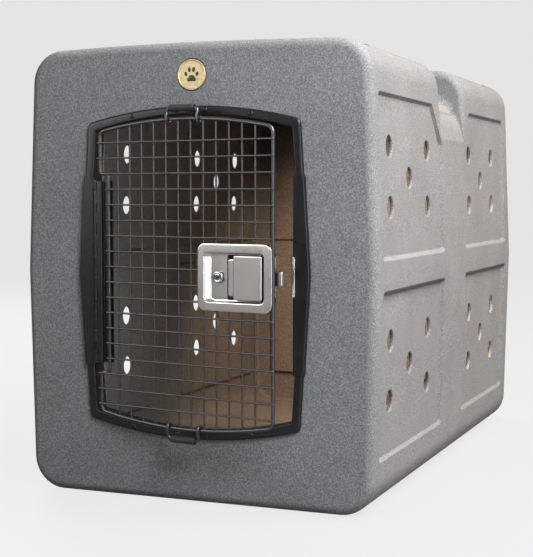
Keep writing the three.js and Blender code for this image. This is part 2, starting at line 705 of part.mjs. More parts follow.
function hexagon(radius, start, end, x, z) {
  return rodAlongY(radius, start, end, x, z, 6);
}

function makeLockBody() {
  const head = rodAlongY(lock.headRadius, -1.5, tray.floor - gap, lock.x, latch.z, 20);
  const barrel = rodAlongY(lock.bodyRadius, 1, 7.5, lock.x, latch.z, 16);
  const bore = rodAlongY(lock.plugRadius + 0.2, -5, 10, lock.x, latch.z, 16);
  return toGeometry(cut(join(head, barrel), bore));
}

function makeLockPlug() {
  const plug = rodAlongY(lock.plugRadius, -1.9, 8, lock.x, latch.z, 16);
  const keyway = box(lock.x - 0.7, lock.x + 0.7, -3, 3, latch.z - 2.8, latch.z + 2.8);
  return toGeometry(cut(toSolid(plug), keyway));
}

function makeLockNut() {
  const front = tray.floor + tray.wall + gap;
  const nut = hexagon(9, front, front + 2.4, lock.x, latch.z);
  const bore = rodAlongY(lock.bodyRadius + 0.2, front - 1, front + 4, lock.x, latch.z, 16);
  return toGeometry(cut(toSolid(nut), bore));
}

function makeLockCam() {
  const { front, back, halfWidth, reach } = cam;
  const bar = extrudeAlongY(new THREE.Shape(roundedRectangle(
    lock.x - halfWidth, lock.x + halfWidth, latch.z - reach, latch.z + 6, 3)), front, back);
  return toGeometry(cut(toSolid(bar), rodAlongY(1.8, front - 1, back + 1, lock.x, latch.z, 8)));
}

function makeCamScrew() {
  const head = hexagon(3.6, cam.back + gap, 12.8, lock.x, latch.z);
  const shank = rodAlongY(1.5, cam.front, 11, lock.x, latch.z, 8);
  return toGeometry(join(head, shank));
}

function makeStudNut() {
  const nut = hexagon(4, 0, 3.2, 0, 0);
  return toGeometry(cut(toSolid(nut), rodAlongY(2.1, -1, 5, 0, 0, 8)));
}

function makeBadge() {
  const { radius, thickness } = badge;
  const profile = planPoints([
    [0, 0], [radius, 0], [radius, thickness - 0.5], [radius - 0.6, thickness],
    [radius - 2.2, thickness], [radius - 2.8, thickness - 0.6], [0, thickness - 0.6],
  ]);
  return new THREE.LatheGeometry(profile, 28).rotateX(Math.PI);
}

// ---------------------------------------------------------------- assembly

function addPiece(group, name, geometry, look, x = 0, y = 0, z = 0) {
  const mesh = new THREE.Mesh(geometry, new THREE.MeshStandardMaterial(looks[look]));
  mesh.name = name;
  mesh.position.set(x, y, z);
  group.add(mesh);
}

function addShellPieces(group) {
  const hingeY = fromFront(-hinge.standOff);
  addPiece(group, 'body_shell', makeBodyShell(), 'plastic');
  addPiece(group, 'door_frame', makeDoorFrame(), 'powderCoat');
  addPiece(group, 'hinge_side_plate', makeSidePlate(-1), 'powderCoat');
  addPiece(group, 'latch_side_plate', makeSidePlate(1), 'powderCoat');
  addPiece(group, 'strike_plate', makeStrikePlate(), 'stainless');
  addPiece(group, 'hinge_frame_leaf', makeFrameLeaf(), 'powderCoat', hinge.x, hingeY, shell.partingHeight);
  const pin = rodAlongZ(hinge.pinRadius, -hinge.halfLength - 0.8, hinge.halfLength + 0.8, 0, 0);
  addPiece(group, 'hinge_pin', pin, 'zinc', hinge.x, hingeY, shell.partingHeight);
  addPiece(group, 'badge', makeBadge(), 'brass', 0, fromFront(badge.pocketDepth - gap), badge.height);
  rivetPlaces().forEach(([x, z], index) => {
    const front = fromFront(-frame.flangeThickness - 2 * gap);
    addPiece(group, `frame_rivet_${index + 1}`, makeFrameRivet(), 'powderCoat', x, front, z);
  });
}

function addDoorPieces(group) {
  addPiece(group, 'door_wire_panel', makeWirePanel(), 'powderCoat');
  addPiece(group, 'hinge_door_leaf', makeDoorLeaf(), 'powderCoat');
  addPiece(group, 'upper_stop_loop', makeStopLoop(1), 'powderCoat');
  addPiece(group, 'lower_stop_loop', makeStopLoop(-1), 'powderCoat');
  addPiece(group, 'upper_stop_sleeve', makeStopSleeve(1), 'rubber');
  addPiece(group, 'lower_stop_sleeve', makeStopSleeve(-1), 'rubber');
  addPiece(group, 'latch_mounting_plate', makeMountingPlate(), 'powderCoat');
  addPiece(group, 'latch_pan', makeLatchPan(), 'stainless');
  addPiece(group, 'bolt_housing', makeBoltHousing(), 'stainless');
  addPiece(group, 'paddle_pin', makePaddlePin(), 'stainless');
  addPiece(group, 'paddle_spring', makePaddleSpring(), 'zinc');
  addPiece(group, 'lock_body', makeLockBody(), 'stainless');
  addPiece(group, 'lock_nut', makeLockNut(), 'zinc');
  const nutFront = latch.front + latch.sheet + 2 + 2 * gap;
  studPlaces.forEach(([x, z], index) => {
    addPiece(group, `latch_nut_${index + 1}`, makeStudNut(), 'zinc', x, nutFront, z);
  });
}

function addMovingLatchPieces(group) {
  addPiece(group, 'latch_paddle', makePaddle(), 'stainless');
  addPiece(group, 'latch_bolt', makeLatchBolt(), 'stainless');
  addPiece(group, 'lock_plug', makeLockPlug(), 'stainless');
  addPiece(group, 'lock_cam', makeLockCam(), 'zinc');
  addPiece(group, 'cam_screw', makeCamScrew(), 'zinc');
}

const carrier = new THREE.Group();
addShellPieces(carrier);

const doorGroup = new THREE.Group();
doorGroup.position.set(hinge.x, fromFront(-hinge.standOff), shell.partingHeight);
doorGroup.rotation.z = -THREE.MathUtils.degToRad(door.openAngle);
addDoorPieces(doorGroup);
addMovingLatchPieces(doorGroup);
carrier.add(doorGroup);

export default carrier;
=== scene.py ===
"""Pet transport carrier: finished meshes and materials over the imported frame.

Meshes are drawn in millimetres and scaled to metres when they are made. +X is right,
-Y is the door end and +Z is up. Door pieces are drawn in the door's own axes, with X from
the hinge axis to the latch edge, and are then placed at the angle at which the door stands.
"""

import math

import bmesh
import bpy
from mathutils import Matrix, Vector


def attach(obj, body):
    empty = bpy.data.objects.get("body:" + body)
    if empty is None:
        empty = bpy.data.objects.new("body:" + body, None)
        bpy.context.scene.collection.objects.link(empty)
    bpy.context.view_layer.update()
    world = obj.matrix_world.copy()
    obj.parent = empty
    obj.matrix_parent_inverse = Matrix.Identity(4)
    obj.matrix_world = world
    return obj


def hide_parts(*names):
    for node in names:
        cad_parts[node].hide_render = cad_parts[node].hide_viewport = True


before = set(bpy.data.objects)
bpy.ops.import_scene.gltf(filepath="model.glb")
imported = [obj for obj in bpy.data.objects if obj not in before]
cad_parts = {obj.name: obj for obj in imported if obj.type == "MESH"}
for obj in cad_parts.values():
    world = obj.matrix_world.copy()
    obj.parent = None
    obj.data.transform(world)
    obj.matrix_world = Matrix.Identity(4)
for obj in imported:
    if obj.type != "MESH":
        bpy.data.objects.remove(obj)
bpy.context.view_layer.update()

# ------------------------------------------------------------------ driving dimensions

MM = 0.001
DEPTH = 836
FRONT = -DEPTH / 2
BACK = DEPTH / 2
BASE_HALF, MIDDLE_HALF, TOP_HALF = 252.5, 260.0, 247.5
PARTING, SHOULDER, CROWN = 312.0, 618.0, 622.0
WALL, CORNER, EDGE = 5.0, 46.0, 13.0
GROOVE_FRONT, GROOVE_BACK = FRONT + 343, FRONT + 490
GROOVE_SHOULDER, GROOVE_CROWN, GROOVE_CORNER = 562.0, 565.0, 60.0
PANEL_DEPTH, PANEL_BAND, PANEL_TOP, PANEL_BOTTOM = 7.5, 21.0, 238.0, 243.0
FRONT_PANEL, REAR_PANEL, BACK_PANEL_HALF = (28, 348), (482, 789), 212
FRONT_CLIP, REAR_CLIP, CLIP_DROP = 296, 532, 56
VENT_RADIUS, VENT_HIGH, VENT_LOW = 14.5, 170.0, 89.0
VENT_COLUMNS, BACK_VENT_HALF = ((86.5, 277), (542, 711.5)), 120
POCKET_RADIUS, POCKET_FLOOR, POCKET_SIDE, POCKET_ROWS = 33.0, 612.0, 200, (48, 747)
GRIP_WIDTH, GRIP_THICK, GRIP_TOP = 72.0, 24.0, 619.0

FRAME_APEX, FRAME_SIDE, FRAME_CORNER, FRAME_ARCH = 168.5, 156.0, 204.0, 224.5
FLANGE, RETURN_DEPTH = 12.0, 22.0
PLATE_HALF, PLATE_INNER = 130.0, 146.5

HINGE_X, HINGE_OFF, HINGE_HALF, KNUCKLES = -142.8, 8.5, 124.5, 17
KNUCKLE_OUTER, KNUCKLE_INNER, KNUCKLE_GAP = 3.1, 1.8, 0.18
DOOR_ANGLE = math.radians(9.4)
RIM_LEFT, RIM_RIGHT, RIM_HINGE_SIDE = 9.2, 285.0, 23.3
RIM_CORNER, RIM_ARCH, JOG_TOP, JOG_BOTTOM = 191.5, 205.5, 134.5, -138.0
RIM_RADIUS, WIRE_RADIUS = 2.5, 1.4
UPRIGHTS, FIRST_UPRIGHT, UPRIGHT_PITCH = 12, 39.7, 19.92
LEVELS, FIRST_LEVEL, LEVEL_PITCH, LEVEL_Y = 18, 176.5, 21.06, -2.55
STOP_CENTRE, STOP_SPREAD, SLEEVE_HEIGHT, SLEEVE_Y = 147.7, 24.3, 219.5, -2.8
STOP_WIRE, HOOK_RADIUS = 2.2, 4.9

LATCH_X, LATCH_Z, LATCH_WIDTH, LATCH_HEIGHT = 228.7, -0.8, 113.6, 88.0
LATCH_FRONT, SHEET = -4.4, 1.6
TRAY_X, TRAY_WIDTH, TRAY_HEIGHT, TRAY_FLOOR = 227.8, 91.0, 63.5, 2.5
PADDLE_LEFT, PADDLE_RIGHT, PADDLE_HEIGHT = 226.9, 270.4, 58.0
PIN_X, PIN_Y = 265.7, 1.2
LAND_START = 189.5
LOCK_X = 201.4
CAM_HALF, CAM_REACH, CAM_HEAD, CAM_FRONT, CAM_BACK = 5, 22, 6, 8.3, 10.3
BADGE_HEIGHT, BADGE_RADIUS = 577.3, 20.6

AT_DOOR = (Matrix.Translation(Vector((HINGE_X, FRONT - HINGE_OFF, PARTING)) * MM)
           @ Matrix.Rotation(-DOOR_ANGLE, 4, "Z"))
AT_REST = Matrix.Identity(4)


# ------------------------------------------------------------------ mesh helpers

def make_object(name, solids, material, place=AT_REST):
    """One object from (points, faces) pairs in millimetres, with its faces turned outward."""
    points, faces = [], []
    for solid_points, solid_faces in solids:
        first = len(points)
        points.extend(Vector(point) * MM for point in solid_points)
        faces.extend([first + index for index in face] for face in solid_faces)
    mesh = bpy.data.meshes.new(name)
    mesh.from_pydata(points, [], faces)
    build = bmesh.new()
    build.from_mesh(mesh)
    bmesh.ops.remove_doubles(build, verts=build.verts, dist=0.00001)
    bmesh.ops.recalc_face_normals(build, faces=build.faces)
    build.to_mesh(mesh)
    build.free()
    obj = bpy.data.objects.new(name, mesh)
    bpy.context.scene.collection.objects.link(obj)
    obj.matrix_world = place
    if material:
        mesh.materials.append(material)
    return obj


def skin(rings, closed=False):
    """Joins loops of equal length into a solid; closed joins the last loop to the first."""
    count = len(rings[0])
    points = [point for ring in rings for point in ring]
    faces = []
    spans = len(rings) if closed else len(rings) - 1
    for span in range(spans):
        here, there = span * count, ((span + 1) % len(rings)) * count
        for side in range(count):
            after = (side + 1) % count
            faces.append((here + side, here + after, there + after, there + side))
    if not closed:
        faces.append(tuple(range(count)))
        faces.append(tuple(range(len(points) - count, len(points))))
    return points, faces


def smooth(obj, sharp_degrees=38):
    """Smooth shading that keeps flat faces flat and marked edges sharp."""
    for polygon in obj.data.polygons:
        polygon.use_smooth = True
    obj.data.set_sharp_from_angle(angle=math.radians(sharp_degrees))
    weighted = obj.modifiers.new("flat faces", "WEIGHTED_NORMAL")
    weighted.keep_sharp = True
    weighted.weight = 60
    return obj


def soften(obj, width=0.4, segments=2, sharp_degrees=50):
    """Rounds the sharp edges of a stamped or machined piece."""
    bevel = obj.modifiers.new("soft edges", "BEVEL")
    bevel.width = width * MM
    bevel.segments = segments
    bevel.limit_method = "ANGLE"
    bevel.angle_limit = math.radians(35)
    bevel.use_clamp_overlap = True
    return smooth(obj, sharp_degrees)


def discard(obj):
    """Removes a helper object with its mesh."""
    mesh = obj.data
    bpy.data.objects.remove(obj)
    bpy.data.meshes.remove(mesh)


def boolean(obj, other, operation="DIFFERENCE"):
    """Applies a boolean with another object, which is then thrown away."""
    modifier = obj.modifiers.new("boolean", "BOOLEAN")
    modifier.operation = operation
    modifier.solver = "MANIFOLD"
    modifier.object = other
    graph = bpy.context.evaluated_depsgraph_get()
    result = bpy.data.meshes.new_from_object(obj.evaluated_get(graph))
    obj.modifiers.remove(modifier)
    old = obj.data
    obj.data = result
    bpy.data.meshes.remove(old)
    discard(other)
    return obj


def hollow(obj, cavity):
    """Takes away a solid that lies wholly inside: its faces are added, turned inward."""
    build = bmesh.new()
    build.from_mesh(cavity.data)
    bmesh.ops.reverse_faces(build, faces=build.faces)
    build.from_mesh(obj.data)
    build.to_mesh(obj.data)
    build.free()
    discard(cavity)
    return obj


def cut(obj, solids, place=AT_REST):
    return boolean(obj, make_object("cutter", solids, None, place))


def fuse(obj, solids, place=AT_REST):
    return boolean(obj, make_object("addition", solids, None, place), "UNION")


# ------------------------------------------------------------------ outlines and solids

def rounded_loop(corners, steps=6):
    """A closed outline through (x, y, radius) corners, with the same count for every radius."""
    outline = []
    for index, (x, y, radius) in enumerate(corners):
        corner = Vector((x, y))
        if radius <= 0:
            outline.append((x, y))
            continue
        before = (Vector(corners[index - 1][:2]) - corner).normalized()
        after = (Vector(corners[(index + 1) % len(corners)][:2]) - corner).normalized()
        half = math.acos(max(-1.0, min(1.0, before.dot(after)))) / 2
        centre = corner + (before + after).normalized() * radius / math.sin(half)
        start = corner + before * radius / math.tan(half) - centre
        end = corner + after * radius / math.tan(half) - centre
        first = math.atan2(start.y, start.x)
        turn = math.atan2(start.cross(end), start.dot(end))
        for step in range(steps + 1):
            angle = first + turn * step / steps
            outline.append((centre.x + radius * math.cos(angle),
                            centre.y + radius * math.sin(angle)))
    return outline


def rounded_rectangle(left, right, bottom, top, radius, steps=6):
    return rounded_loop([(left, bottom, radius), (right, bottom, radius),
                         (right, top, radius), (left, top, radius)], steps)


def offset_polygon(points, grow):
    """Moves each side of a convex counter-clockwise polygon outward by grow."""
    moved = []
    count = len(points)
    for index in range(count):
        here = Vector(points[index])
        before = (here - Vector(points[index - 1])).normalized()
        after = (Vector(points[(index + 1) % count]) - here).normalized()
        normal_before = Vector((before.y, -before.x))
        normal_after = Vector((after.y, -after.x))
        bisector = (normal_before + normal_after).normalized()
        moved.append(here + bisector * grow / bisector.dot(normal_before))
    return [(point.x, point.y) for point in moved]


def circle(radius, centre=(0.0, 0.0), sides=32):
    return [(centre[0] + radius * math.cos(2 * math.pi * step / sides),
             centre[1] + radius * math.sin(2 * math.pi * step / sides))
            for step in range(sides)]


def box_solid(left, right, front, back, bottom, top):
    loop = [(left, front), (right, front), (right, back), (left, back)]
    return skin([[(x, y, z) for x, y in loop] for z in (bottom, top)])


def prism_z(outline, bottom, top):
    return skin([[(x, y, z) for x, y in outline] for z in (bottom, top)])


def prism_y(outline, front, back):
    return skin([[(x, y, z) for x, z in outline] for y in (front, back)])


def turned_y(profile, x, z, sides=32):
    """A turned solid about a line along Y; the profile is (radius, y)."""
    return skin([[(px, y, pz) for px, pz in circle(max(radius, 0.02), (x, z), sides)]
                 for radius, y in profile])


def turned_z(profile, x, y, sides=24):
    """A turned solid about a line along Z; the profile is (radius, z)."""
    return skin([[(px, py, z) for px, py in circle(max(radius, 0.02), (x, y), sides)]
                 for radius, z in profile])


def tube(path, radius, sides=12, closed=False, domed=True):
    """A round wire along a path; open wires get domed ends."""
    points = [Vector(point) for point in path]
    count = len(points)
    tangents = []
    for index in range(count):
        before = points[index - 1] if closed or index else points[0]
        after = points[(index + 1) % count] if closed or index < count - 1 else points[-1]
        tangents.append((after - before).normalized())
    normal = tangents[0].orthogonal().normalized()
    rings = []
    for index in range(count):
        normal = (normal - tangents[index] * normal.dot(tangents[index])).normalized()
        across = tangents[index].cross(normal)
        rings.append((points[index], normal.copy(), across, tangents[index]))
    if closed:
        twist = ring_twist(rings)
        rings = [(point, *turned_pair(normal, across, twist * index / count), tangent)
                 for index, (point, normal, across, tangent) in enumerate(rings)]

    def ring(point, normal, across, size):
        return [point + normal * size * math.cos(2 * math.pi * side / sides)
                + across * size * math.sin(2 * math.pi * side / sides) for side in range(sides)]

    loops = [ring(point, normal, across, radius) for point, normal, across, _ in rings]
    if not closed and domed:
        caps = [(0.92, 0.35), (0.7, 0.65), (0.35, 0.85)]
        first, last = rings[0], rings[-1]
        start = [ring(first[0] - first[3] * radius * out, first[1], first[2], radius * wide)
                 for wide, out in reversed(caps)]
        end = [ring(last[0] + last[3] * radius * out, last[1], last[2], radius * wide)
               for wide, out in caps]
        loops = start + loops + end
    return skin(loops, closed)


def ring_twist(rings):
    """The angle a frame carried round a closed path has turned by when it is back."""
    normal = rings[-1][1]
    tangent = rings[0][3]
    carried = (normal - tangent * normal.dot(tangent)).normalized()
    return math.atan2(rings[0][1].dot(tangent.cross(carried)), rings[0][1].dot(carried))


def turned_pair(normal, across, angle):
    cosine, sine = math.cos(angle), math.sin(angle)
    return normal * cosine + across * sine, across * cosine - normal * sine


def straight_wire(start, end, radius, sides=12):
    return tube([start, (Vector(start) + Vector(end)) / 2, end], radius, sides)


# ------------------------------------------------------------------ moulded shell

def half_width(height):
    if height < PARTING:
        return BASE_HALF + (MIDDLE_HALF - BASE_HALF) * height / PARTING
    return MIDDLE_HALF + (TOP_HALF - MIDDLE_HALF) * (height - PARTING) / (SHOULDER - PARTING)


def arc_between(before, corner, after, radius, steps):
    loop = rounded_loop([(*before, 0), (*corner, radius), (*after, 0)], steps)
    return loop[1:-1]


def between(start, end, steps):
    return [(start[0] + (end[0] - start[0]) * step / steps,
             start[1] + (end[1] - start[1]) * step / steps) for step in range(1, steps)]


def full_outline(inset):
    """The front view of the shell as (x, z) points, drawn in by inset."""
    base = (half_width(0) - inset, inset)
    middle = (MIDDLE_HALF - inset, PARTING)
    shoulder = (TOP_HALF - inset, SHOULDER - inset)
    crown = (0.0, CROWN - inset)
    radius = CORNER - inset
    low_arc = arc_between((0, inset), base, middle, radius, 10)
    high_arc = arc_between(middle, shoulder, crown, radius, 10)
    bend = 502.0
    side = (half_width(bend) - inset, bend)
    right = [(0.0, inset), *between((0.0, inset), low_arc[0], 4), *low_arc,
             *between(low_arc[-1], middle, 4), middle, *between(middle, side, 4), side,
             *between(side, high_arc[0], 5), *high_arc]
    start = high_arc[-1]
    for step in range(1, 9):
        share = 1 - step / 8
        x = start[0] * share
        right.append((x, start[1] + (crown[1] - start[1]) * (1 - share * share)))
    left = [(-x, z) for x, z in reversed(right[1:-1])]
    return right + left


def groove_point(x, z, inset):
    """Where a point of the full outline lands in the saddle, straight in or straight down."""
    side = math.copysign(1.0, x)
    centre_x = half_width(GROOVE_SHOULDER) - GROOVE_CORNER
    centre_z = GROOVE_SHOULDER - GROOVE_CORNER
    radius = GROOVE_CORNER - inset
    if z <= centre_z + 0.01:
        return x, z
    if abs(x) > centre_x:
        away = Vector((abs(x) - centre_x, z - centre_z)).normalized() * radius
        return side * (centre_x + away.x), centre_z + away.y
    rise = (GROOVE_CROWN - GROOVE_SHOULDER) * (1 - (x / centre_x) ** 2)
    return x, centre_z + radius + rise


def groove_profile(depth, convex, concave):
    """Steps of (share of the way down, distance past the edge of the wall)."""
    outer = min(convex, 0.55 * depth)
    inner = min(concave, 0.4 * depth)
    steps = []
    for step in range(7):
        angle = math.pi / 2 * step / 6
        steps.append((outer * (1 - math.cos(angle)), -outer * (1 - math.sin(angle))))
    for step in range(6):
        angle = math.pi / 2 * step / 5
        steps.append((depth - inner * (1 - math.sin(angle)), inner * (1 - math.cos(angle))))
    return [(down / depth if depth > 0.01 else 0.0, past) for down, past in steps]


def shell_block(inset):
    """The shell's outside, or its cavity when inset is the wall, as one closed skin."""
    edge = EDGE - inset
    steps = 8
    arc = [math.pi / 2 * step / steps for step in range(steps + 1)]
    rounded = [(inset + edge * (1 - math.sin(a)), edge * (1 - math.cos(a))) for a in arc]
    rings = [[(x, FRONT + inset + past, z) for x, z in full_outline(drawn_in)]
             for drawn_in, past in rounded]
    full = full_outline(inset)
    low = [groove_point(x, z, inset) for x, z in full]
    profiles = [groove_profile(math.dist(a, b), EDGE - inset, 26 + inset)
                for a, b in zip(full, low)]
    wall_front, wall_back = GROOVE_FRONT - inset, GROOVE_BACK + inset
    count = len(profiles[0])
    for order, wall, direction in ((range(count), wall_front, 1),
                                   (reversed(range(count)), wall_back, -1)):
        for step in order:
            ring = []
            for (fx, fz), (lx, lz), profile in zip(full, low, profiles):
                share, past = profile[step]
                ring.append((fx + (lx - fx) * share, wall + direction * past,
                             fz + (lz - fz) * share))
            rings.append(ring)
    rings += [[(x, BACK - inset - past, z) for x, z in full_outline(drawn_in)]
              for drawn_in, past in reversed(rounded)]
    return skin(rings)


def flared_profile(depth, flare, draft, floor_radius):
    """Steps of (growth, depth) for a recess with a rounded rim, leaning walls and a soft floor."""
    steps = [(flare + 1.5, -3.0)]
    for degrees in (12, 30, 50, 70, 90):
        angle = math.radians(degrees)
        steps.append((flare * (1 - math.sin(angle)), flare * (1 - math.cos(angle))))
    for degrees in (0, 30, 60, 90):
        angle = math.radians(degrees)
        steps.append((-draft - floor_radius * (1 - math.cos(angle)),
                      depth - floor_radius * (1 - math.sin(angle))))
    return steps


def recess_share(z):
    """The floors of the side panels stand straighter than the wall, so they get shallower."""
    return 1.0 - 0.42 * abs(z - PARTING) / PANEL_TOP


def side_recess(outline_at, profile, side, under=0.0):
    rings = []
    for grow, depth in profile:
        rings.append([(side * (half_width(z) - under - depth * recess_share(z)), y, z)
                      for y, z in outline_at(grow)])
    return skin(rings)


def back_recess(outline_at, profile):
    return skin([[(x, BACK - depth, z) for x, z in outline_at(grow)]
                 for grow, depth in profile])


def panel_outline(corners, corner_radius=7.0):
    def outline_at(grow):
        moved = offset_polygon(corners, grow)
        radius = max(corner_radius + grow, 0.6)
        return rounded_loop([(*point, radius) for point in moved], 5)
    return outline_at


def panel_levels():
    """Bottom and top of the lower panels, then of the upper ones."""
    return ((PARTING - PANEL_BOTTOM, PARTING - PANEL_BAND),
            (PARTING + PANEL_BAND, PARTING + PANEL_TOP))


def side_panels():
    """Two plain lower panels, and two upper ones clipped at the corner beside the saddle."""
    (low, under), (over, high) = panel_levels()
    spans = [(FRONT + start, FRONT + end) for start, end in (FRONT_PANEL, REAR_PANEL)]
    lower = [[(start, low), (end, low), (end, under), (start, under)] for start, end in spans]
    (front, front_end), (rear, rear_end) = spans
    front_high = [(front, over), (front_end, over), (front_end, high - CLIP_DROP),
                  (FRONT + FRONT_CLIP, high), (front, high)]
    rear_high = [(rear, over), (rear_end, over), (rear_end, high),
                 (FRONT + REAR_CLIP, high), (rear, high - CLIP_DROP)]
    return [*lower, front_high, rear_high]


def back_panels():
    half = BACK_PANEL_HALF
    return [[(-half, bottom), (half, bottom), (half, top), (-half, top)]
            for bottom, top in panel_levels()]


def pocket_places():
    return [(x, FRONT + y) for x in (-POCKET_SIDE, POCKET_SIDE) for y in POCKET_ROWS]


def vent_places(left, right):
    """Five holes to a panel, as the spots on a die."""
    middle = (left + right) / 2
    places = []
    for half in (1, -1):
        high, low = PARTING + half * VENT_HIGH, PARTING + half * VENT_LOW
        places += [(left, high), (right, high), (middle, (high + low) / 2),
                   (left, low), (right, low)]
    return places


def vent_profile():
    floor = PANEL_DEPTH
    flare = 1.8
    steps = [(flare + 1.0, floor - 2.5)]
    for degrees in (15, 40, 65, 90):
        angle = math.radians(degrees)
        steps.append((flare * (1 - math.sin(angle)), floor + flare * (1 - math.cos(angle))))
    return steps + [(0.0, floor + WALL - 0.6), (0.9, floor + WALL + 0.4),
                    (0.9, floor + WALL + 8.0)]


def vent_outline(place):
    def outline_at(grow):
        return circle(VENT_RADIUS + grow, place, 40)
    return outline_at


def barrel(inset, arc_steps=8):
    """The barrel-sided outline of the door frame as (x, z) points, drawn in by inset."""
    apex, corner = FRAME_APEX - inset, FRAME_SIDE - inset
    corner_height, arch_height = FRAME_CORNER - inset, FRAME_ARCH - inset
    radius = max(9 - inset / 2, 2.5)
    shares = [step / 8 for step in range(-7, 8)]
    arch = [(share * corner, corner_height + (arch_height - corner_height) * (1 - share ** 2))
            for share in shares]
    top = [(x, z, 0) for x, z in reversed(arch)]
    bottom = [(x, -z, 0) for x, z in arch]
    loop = rounded_loop([
        (corner, -corner_height, radius), (apex, 0, 60), (corner, corner_height, radius), *top,
        (-corner, corner_height, radius), (-apex, 0, 60), (-corner, -corner_height, radius),
        *bottom], arc_steps)
    return [(x, z + PARTING) for x, z in loop]


def barrel_rings(profile):
    return [[(x, y, z) for x, z in barrel(inset)] for inset, y in profile]


def sink_outside(outside):
    """Sinks the panels, the stacking pockets and the badge's seat into the outside."""
    recess = flared_profile(PANEL_DEPTH, 2.4, 2.0, 2.4)
    for corners in side_panels():
        for side in (1, -1):
            cut(outside, [side_recess(panel_outline(corners), recess, side)])
    for corners in back_panels():
        cut(outside, [back_recess(panel_outline(corners), recess)])
    pocket = [(POCKET_RADIUS + grow, POCKET_FLOOR + rise)
              for grow, rise in ((-1.6, 0.0), (-0.5, 0.5), (0.0, 1.6), (0.2, 3.0), (1.0, 5.0),
                                 (2.6, 6.6), (4.0, 12.0))]
    for x, y in pocket_places():
        cut(outside, [turned_z(pocket, x, y, 48)])
    badge_seat = [(BADGE_RADIUS + 2.8, FRONT - 2.0), (BADGE_RADIUS + 1.9, FRONT + 0.05),
                  (BADGE_RADIUS + 1.3, FRONT + 0.4), (BADGE_RADIUS + 1.2, FRONT + 1.6)]
    cut(outside, [turned_y(badge_seat, 0, BADGE_HEIGHT, 64)])


def make_cavity():
    """The hollow inside, kept a wall away from the panels and pockets of the outside."""
    cavity = make_object("cavity", [shell_block(WALL)], None)
    boss = flared_profile(PANEL_DEPTH, 3.0, 0.6, 2.5)
    for corners in side_panels():
        grown = panel_outline(offset_polygon(corners, WALL))
        for side in (1, -1):
            cut(cavity, [side_recess(grown, boss, side, WALL)])
    deep_boss = [(grow, depth + WALL) for grow, depth in boss]
    for corners in back_panels():
        cut(cavity, [back_recess(panel_outline(offset_polygon(corners, WALL)), deep_boss)])
    above_crown = 640
    under = [(POCKET_RADIUS + WALL, POCKET_FLOOR - WALL), (POCKET_RADIUS + WALL, above_crown)]
    for x, y in pocket_places():
        cut(cavity, [turned_z(under, x, y, 48)])
    return cavity


def open_doorway(shell):
    """Adds the collar behind the door frame and the grip bar, then cuts the doorway."""
    opening = FLANGE - 2.5
    collar = [(opening + 0.05, FRONT + 1), (opening + 0.05, FRONT + 28.6),
              (opening - 0.9, FRONT + 30), (opening - WALL + 1.4, FRONT + 30),
              (opening - WALL, FRONT + 28.4), (opening - WALL, FRONT + 1)]
    fuse(shell, [skin(barrel_rings(collar), closed=True)])
    fuse(shell, [grip_bar()])
    cut(shell, [skin(barrel_rings([(opening, FRONT - 3), (opening, FRONT + 34)]))])


def cut_vents(shell):
    side_places = [place for left, right in VENT_COLUMNS
                   for place in vent_places(FRONT + left, FRONT + right)]
    for place in side_places:
        for side in (1, -1):
            cut(shell, [side_recess(vent_outline(place), vent_profile(), side)])
    for place in vent_places(-BACK_VENT_HALF, BACK_VENT_HALF):
        cut(shell, [back_recess(vent_outline(place), vent_profile())])


def make_shell(materials):
    outside = make_object("shell_body", [shell_block(0.0)], None)
    sink_outside(outside)
    shell = hollow(outside, make_cavity())
    open_doorway(shell)
    cut_vents(shell)
    paint_cabin_shade(shell, materials)
    smooth(shell, 32)
    return finish_piece(shell, "shell", "shell_plastic", "body_shell")


def paint_cabin_shade(shell, materials):
    """Gives the faces that look into the cabin a darker, warmer copy of the same plastic: painted
    cabin shade and painted warm light.
    """
    shell.data.materials.clear()
    shell.data.materials.append(materials["granite"])
    shell.data.materials.append(materials["inside"])
    for polygon in shell.data.polygons:
        x, y, z = (polygon.center / MM) + polygon.normal * 8
        roof = 611 if not GROOVE_FRONT < y < GROOVE_BACK else 555
        inside = (abs(x) < half_width(z) - 9 and FRONT + 31 < y < BACK - 9 and 5 < z < roof)
        polygon.material_index = 1 if inside else 0


def grip_bar():
    """A bar across the saddle that swells into the walls at both ends."""
    reach = (GROOVE_BACK - GROOVE_FRONT) / 2 + 3
    middle = (GROOVE_BACK + GROOVE_FRONT) / 2
    centre = GRIP_TOP - GRIP_THICK / 2
    rings = []
    for step in range(-16, 17):
        along = reach * step / 16
        swell = 11 * max(0.0, (abs(along) - reach + 22) / 22) ** 3
        half, thick = GRIP_WIDTH / 2 + swell, GRIP_THICK / 2
        loop = rounded_rectangle(-half, half, centre - thick - swell * 0.8, centre + thick,
                                 10.5, 6)
        rings.append([(x, middle + along, z) for x, z in loop])
    return skin(rings)


# ------------------------------------------------------------------ door frame on the shell

def finish_piece(obj, body, slot, *nodes):
    if nodes:
        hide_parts(*nodes)
    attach(obj, body)
    return obj


def arc_profile(centre, radius, start, end, steps):
    """Points of an arc of a section, as (inset, y), with angles in degrees."""
    return [(centre[0] + radius * math.cos(math.radians(start + (end - start) * step / steps)),
             centre[1] + radius * math.sin(math.radians(start + (end - start) * step / steps)))
            for step in range(steps + 1)]


def make_door_frame(coat):
    """A stamped ring: a crowned flange, rolled at its outer rim and turned in at its inner."""
    section = [(0.2, -0.3), *arc_profile((3.2, -1.8), 3.2, 180, 270, 7),
               (6.0, -5.08), *arc_profile((9.6, -2.6), 2.4, 270, 360, 7),
               (12.0, RETURN_DEPTH - 1), (11.0, RETURN_DEPTH), (10.0, RETURN_DEPTH - 1),
               (10.0, -2.0), (8.6, -0.6)]
    frame_ring = make_object("door_frame_ring",
                             [skin(barrel_rings([(inset, FRONT + y) for inset, y in section]),
                                   closed=True)], coat)
    smooth(frame_ring, 55)
    return finish_piece(frame_ring, "shell", "powder_coat", "door_frame")


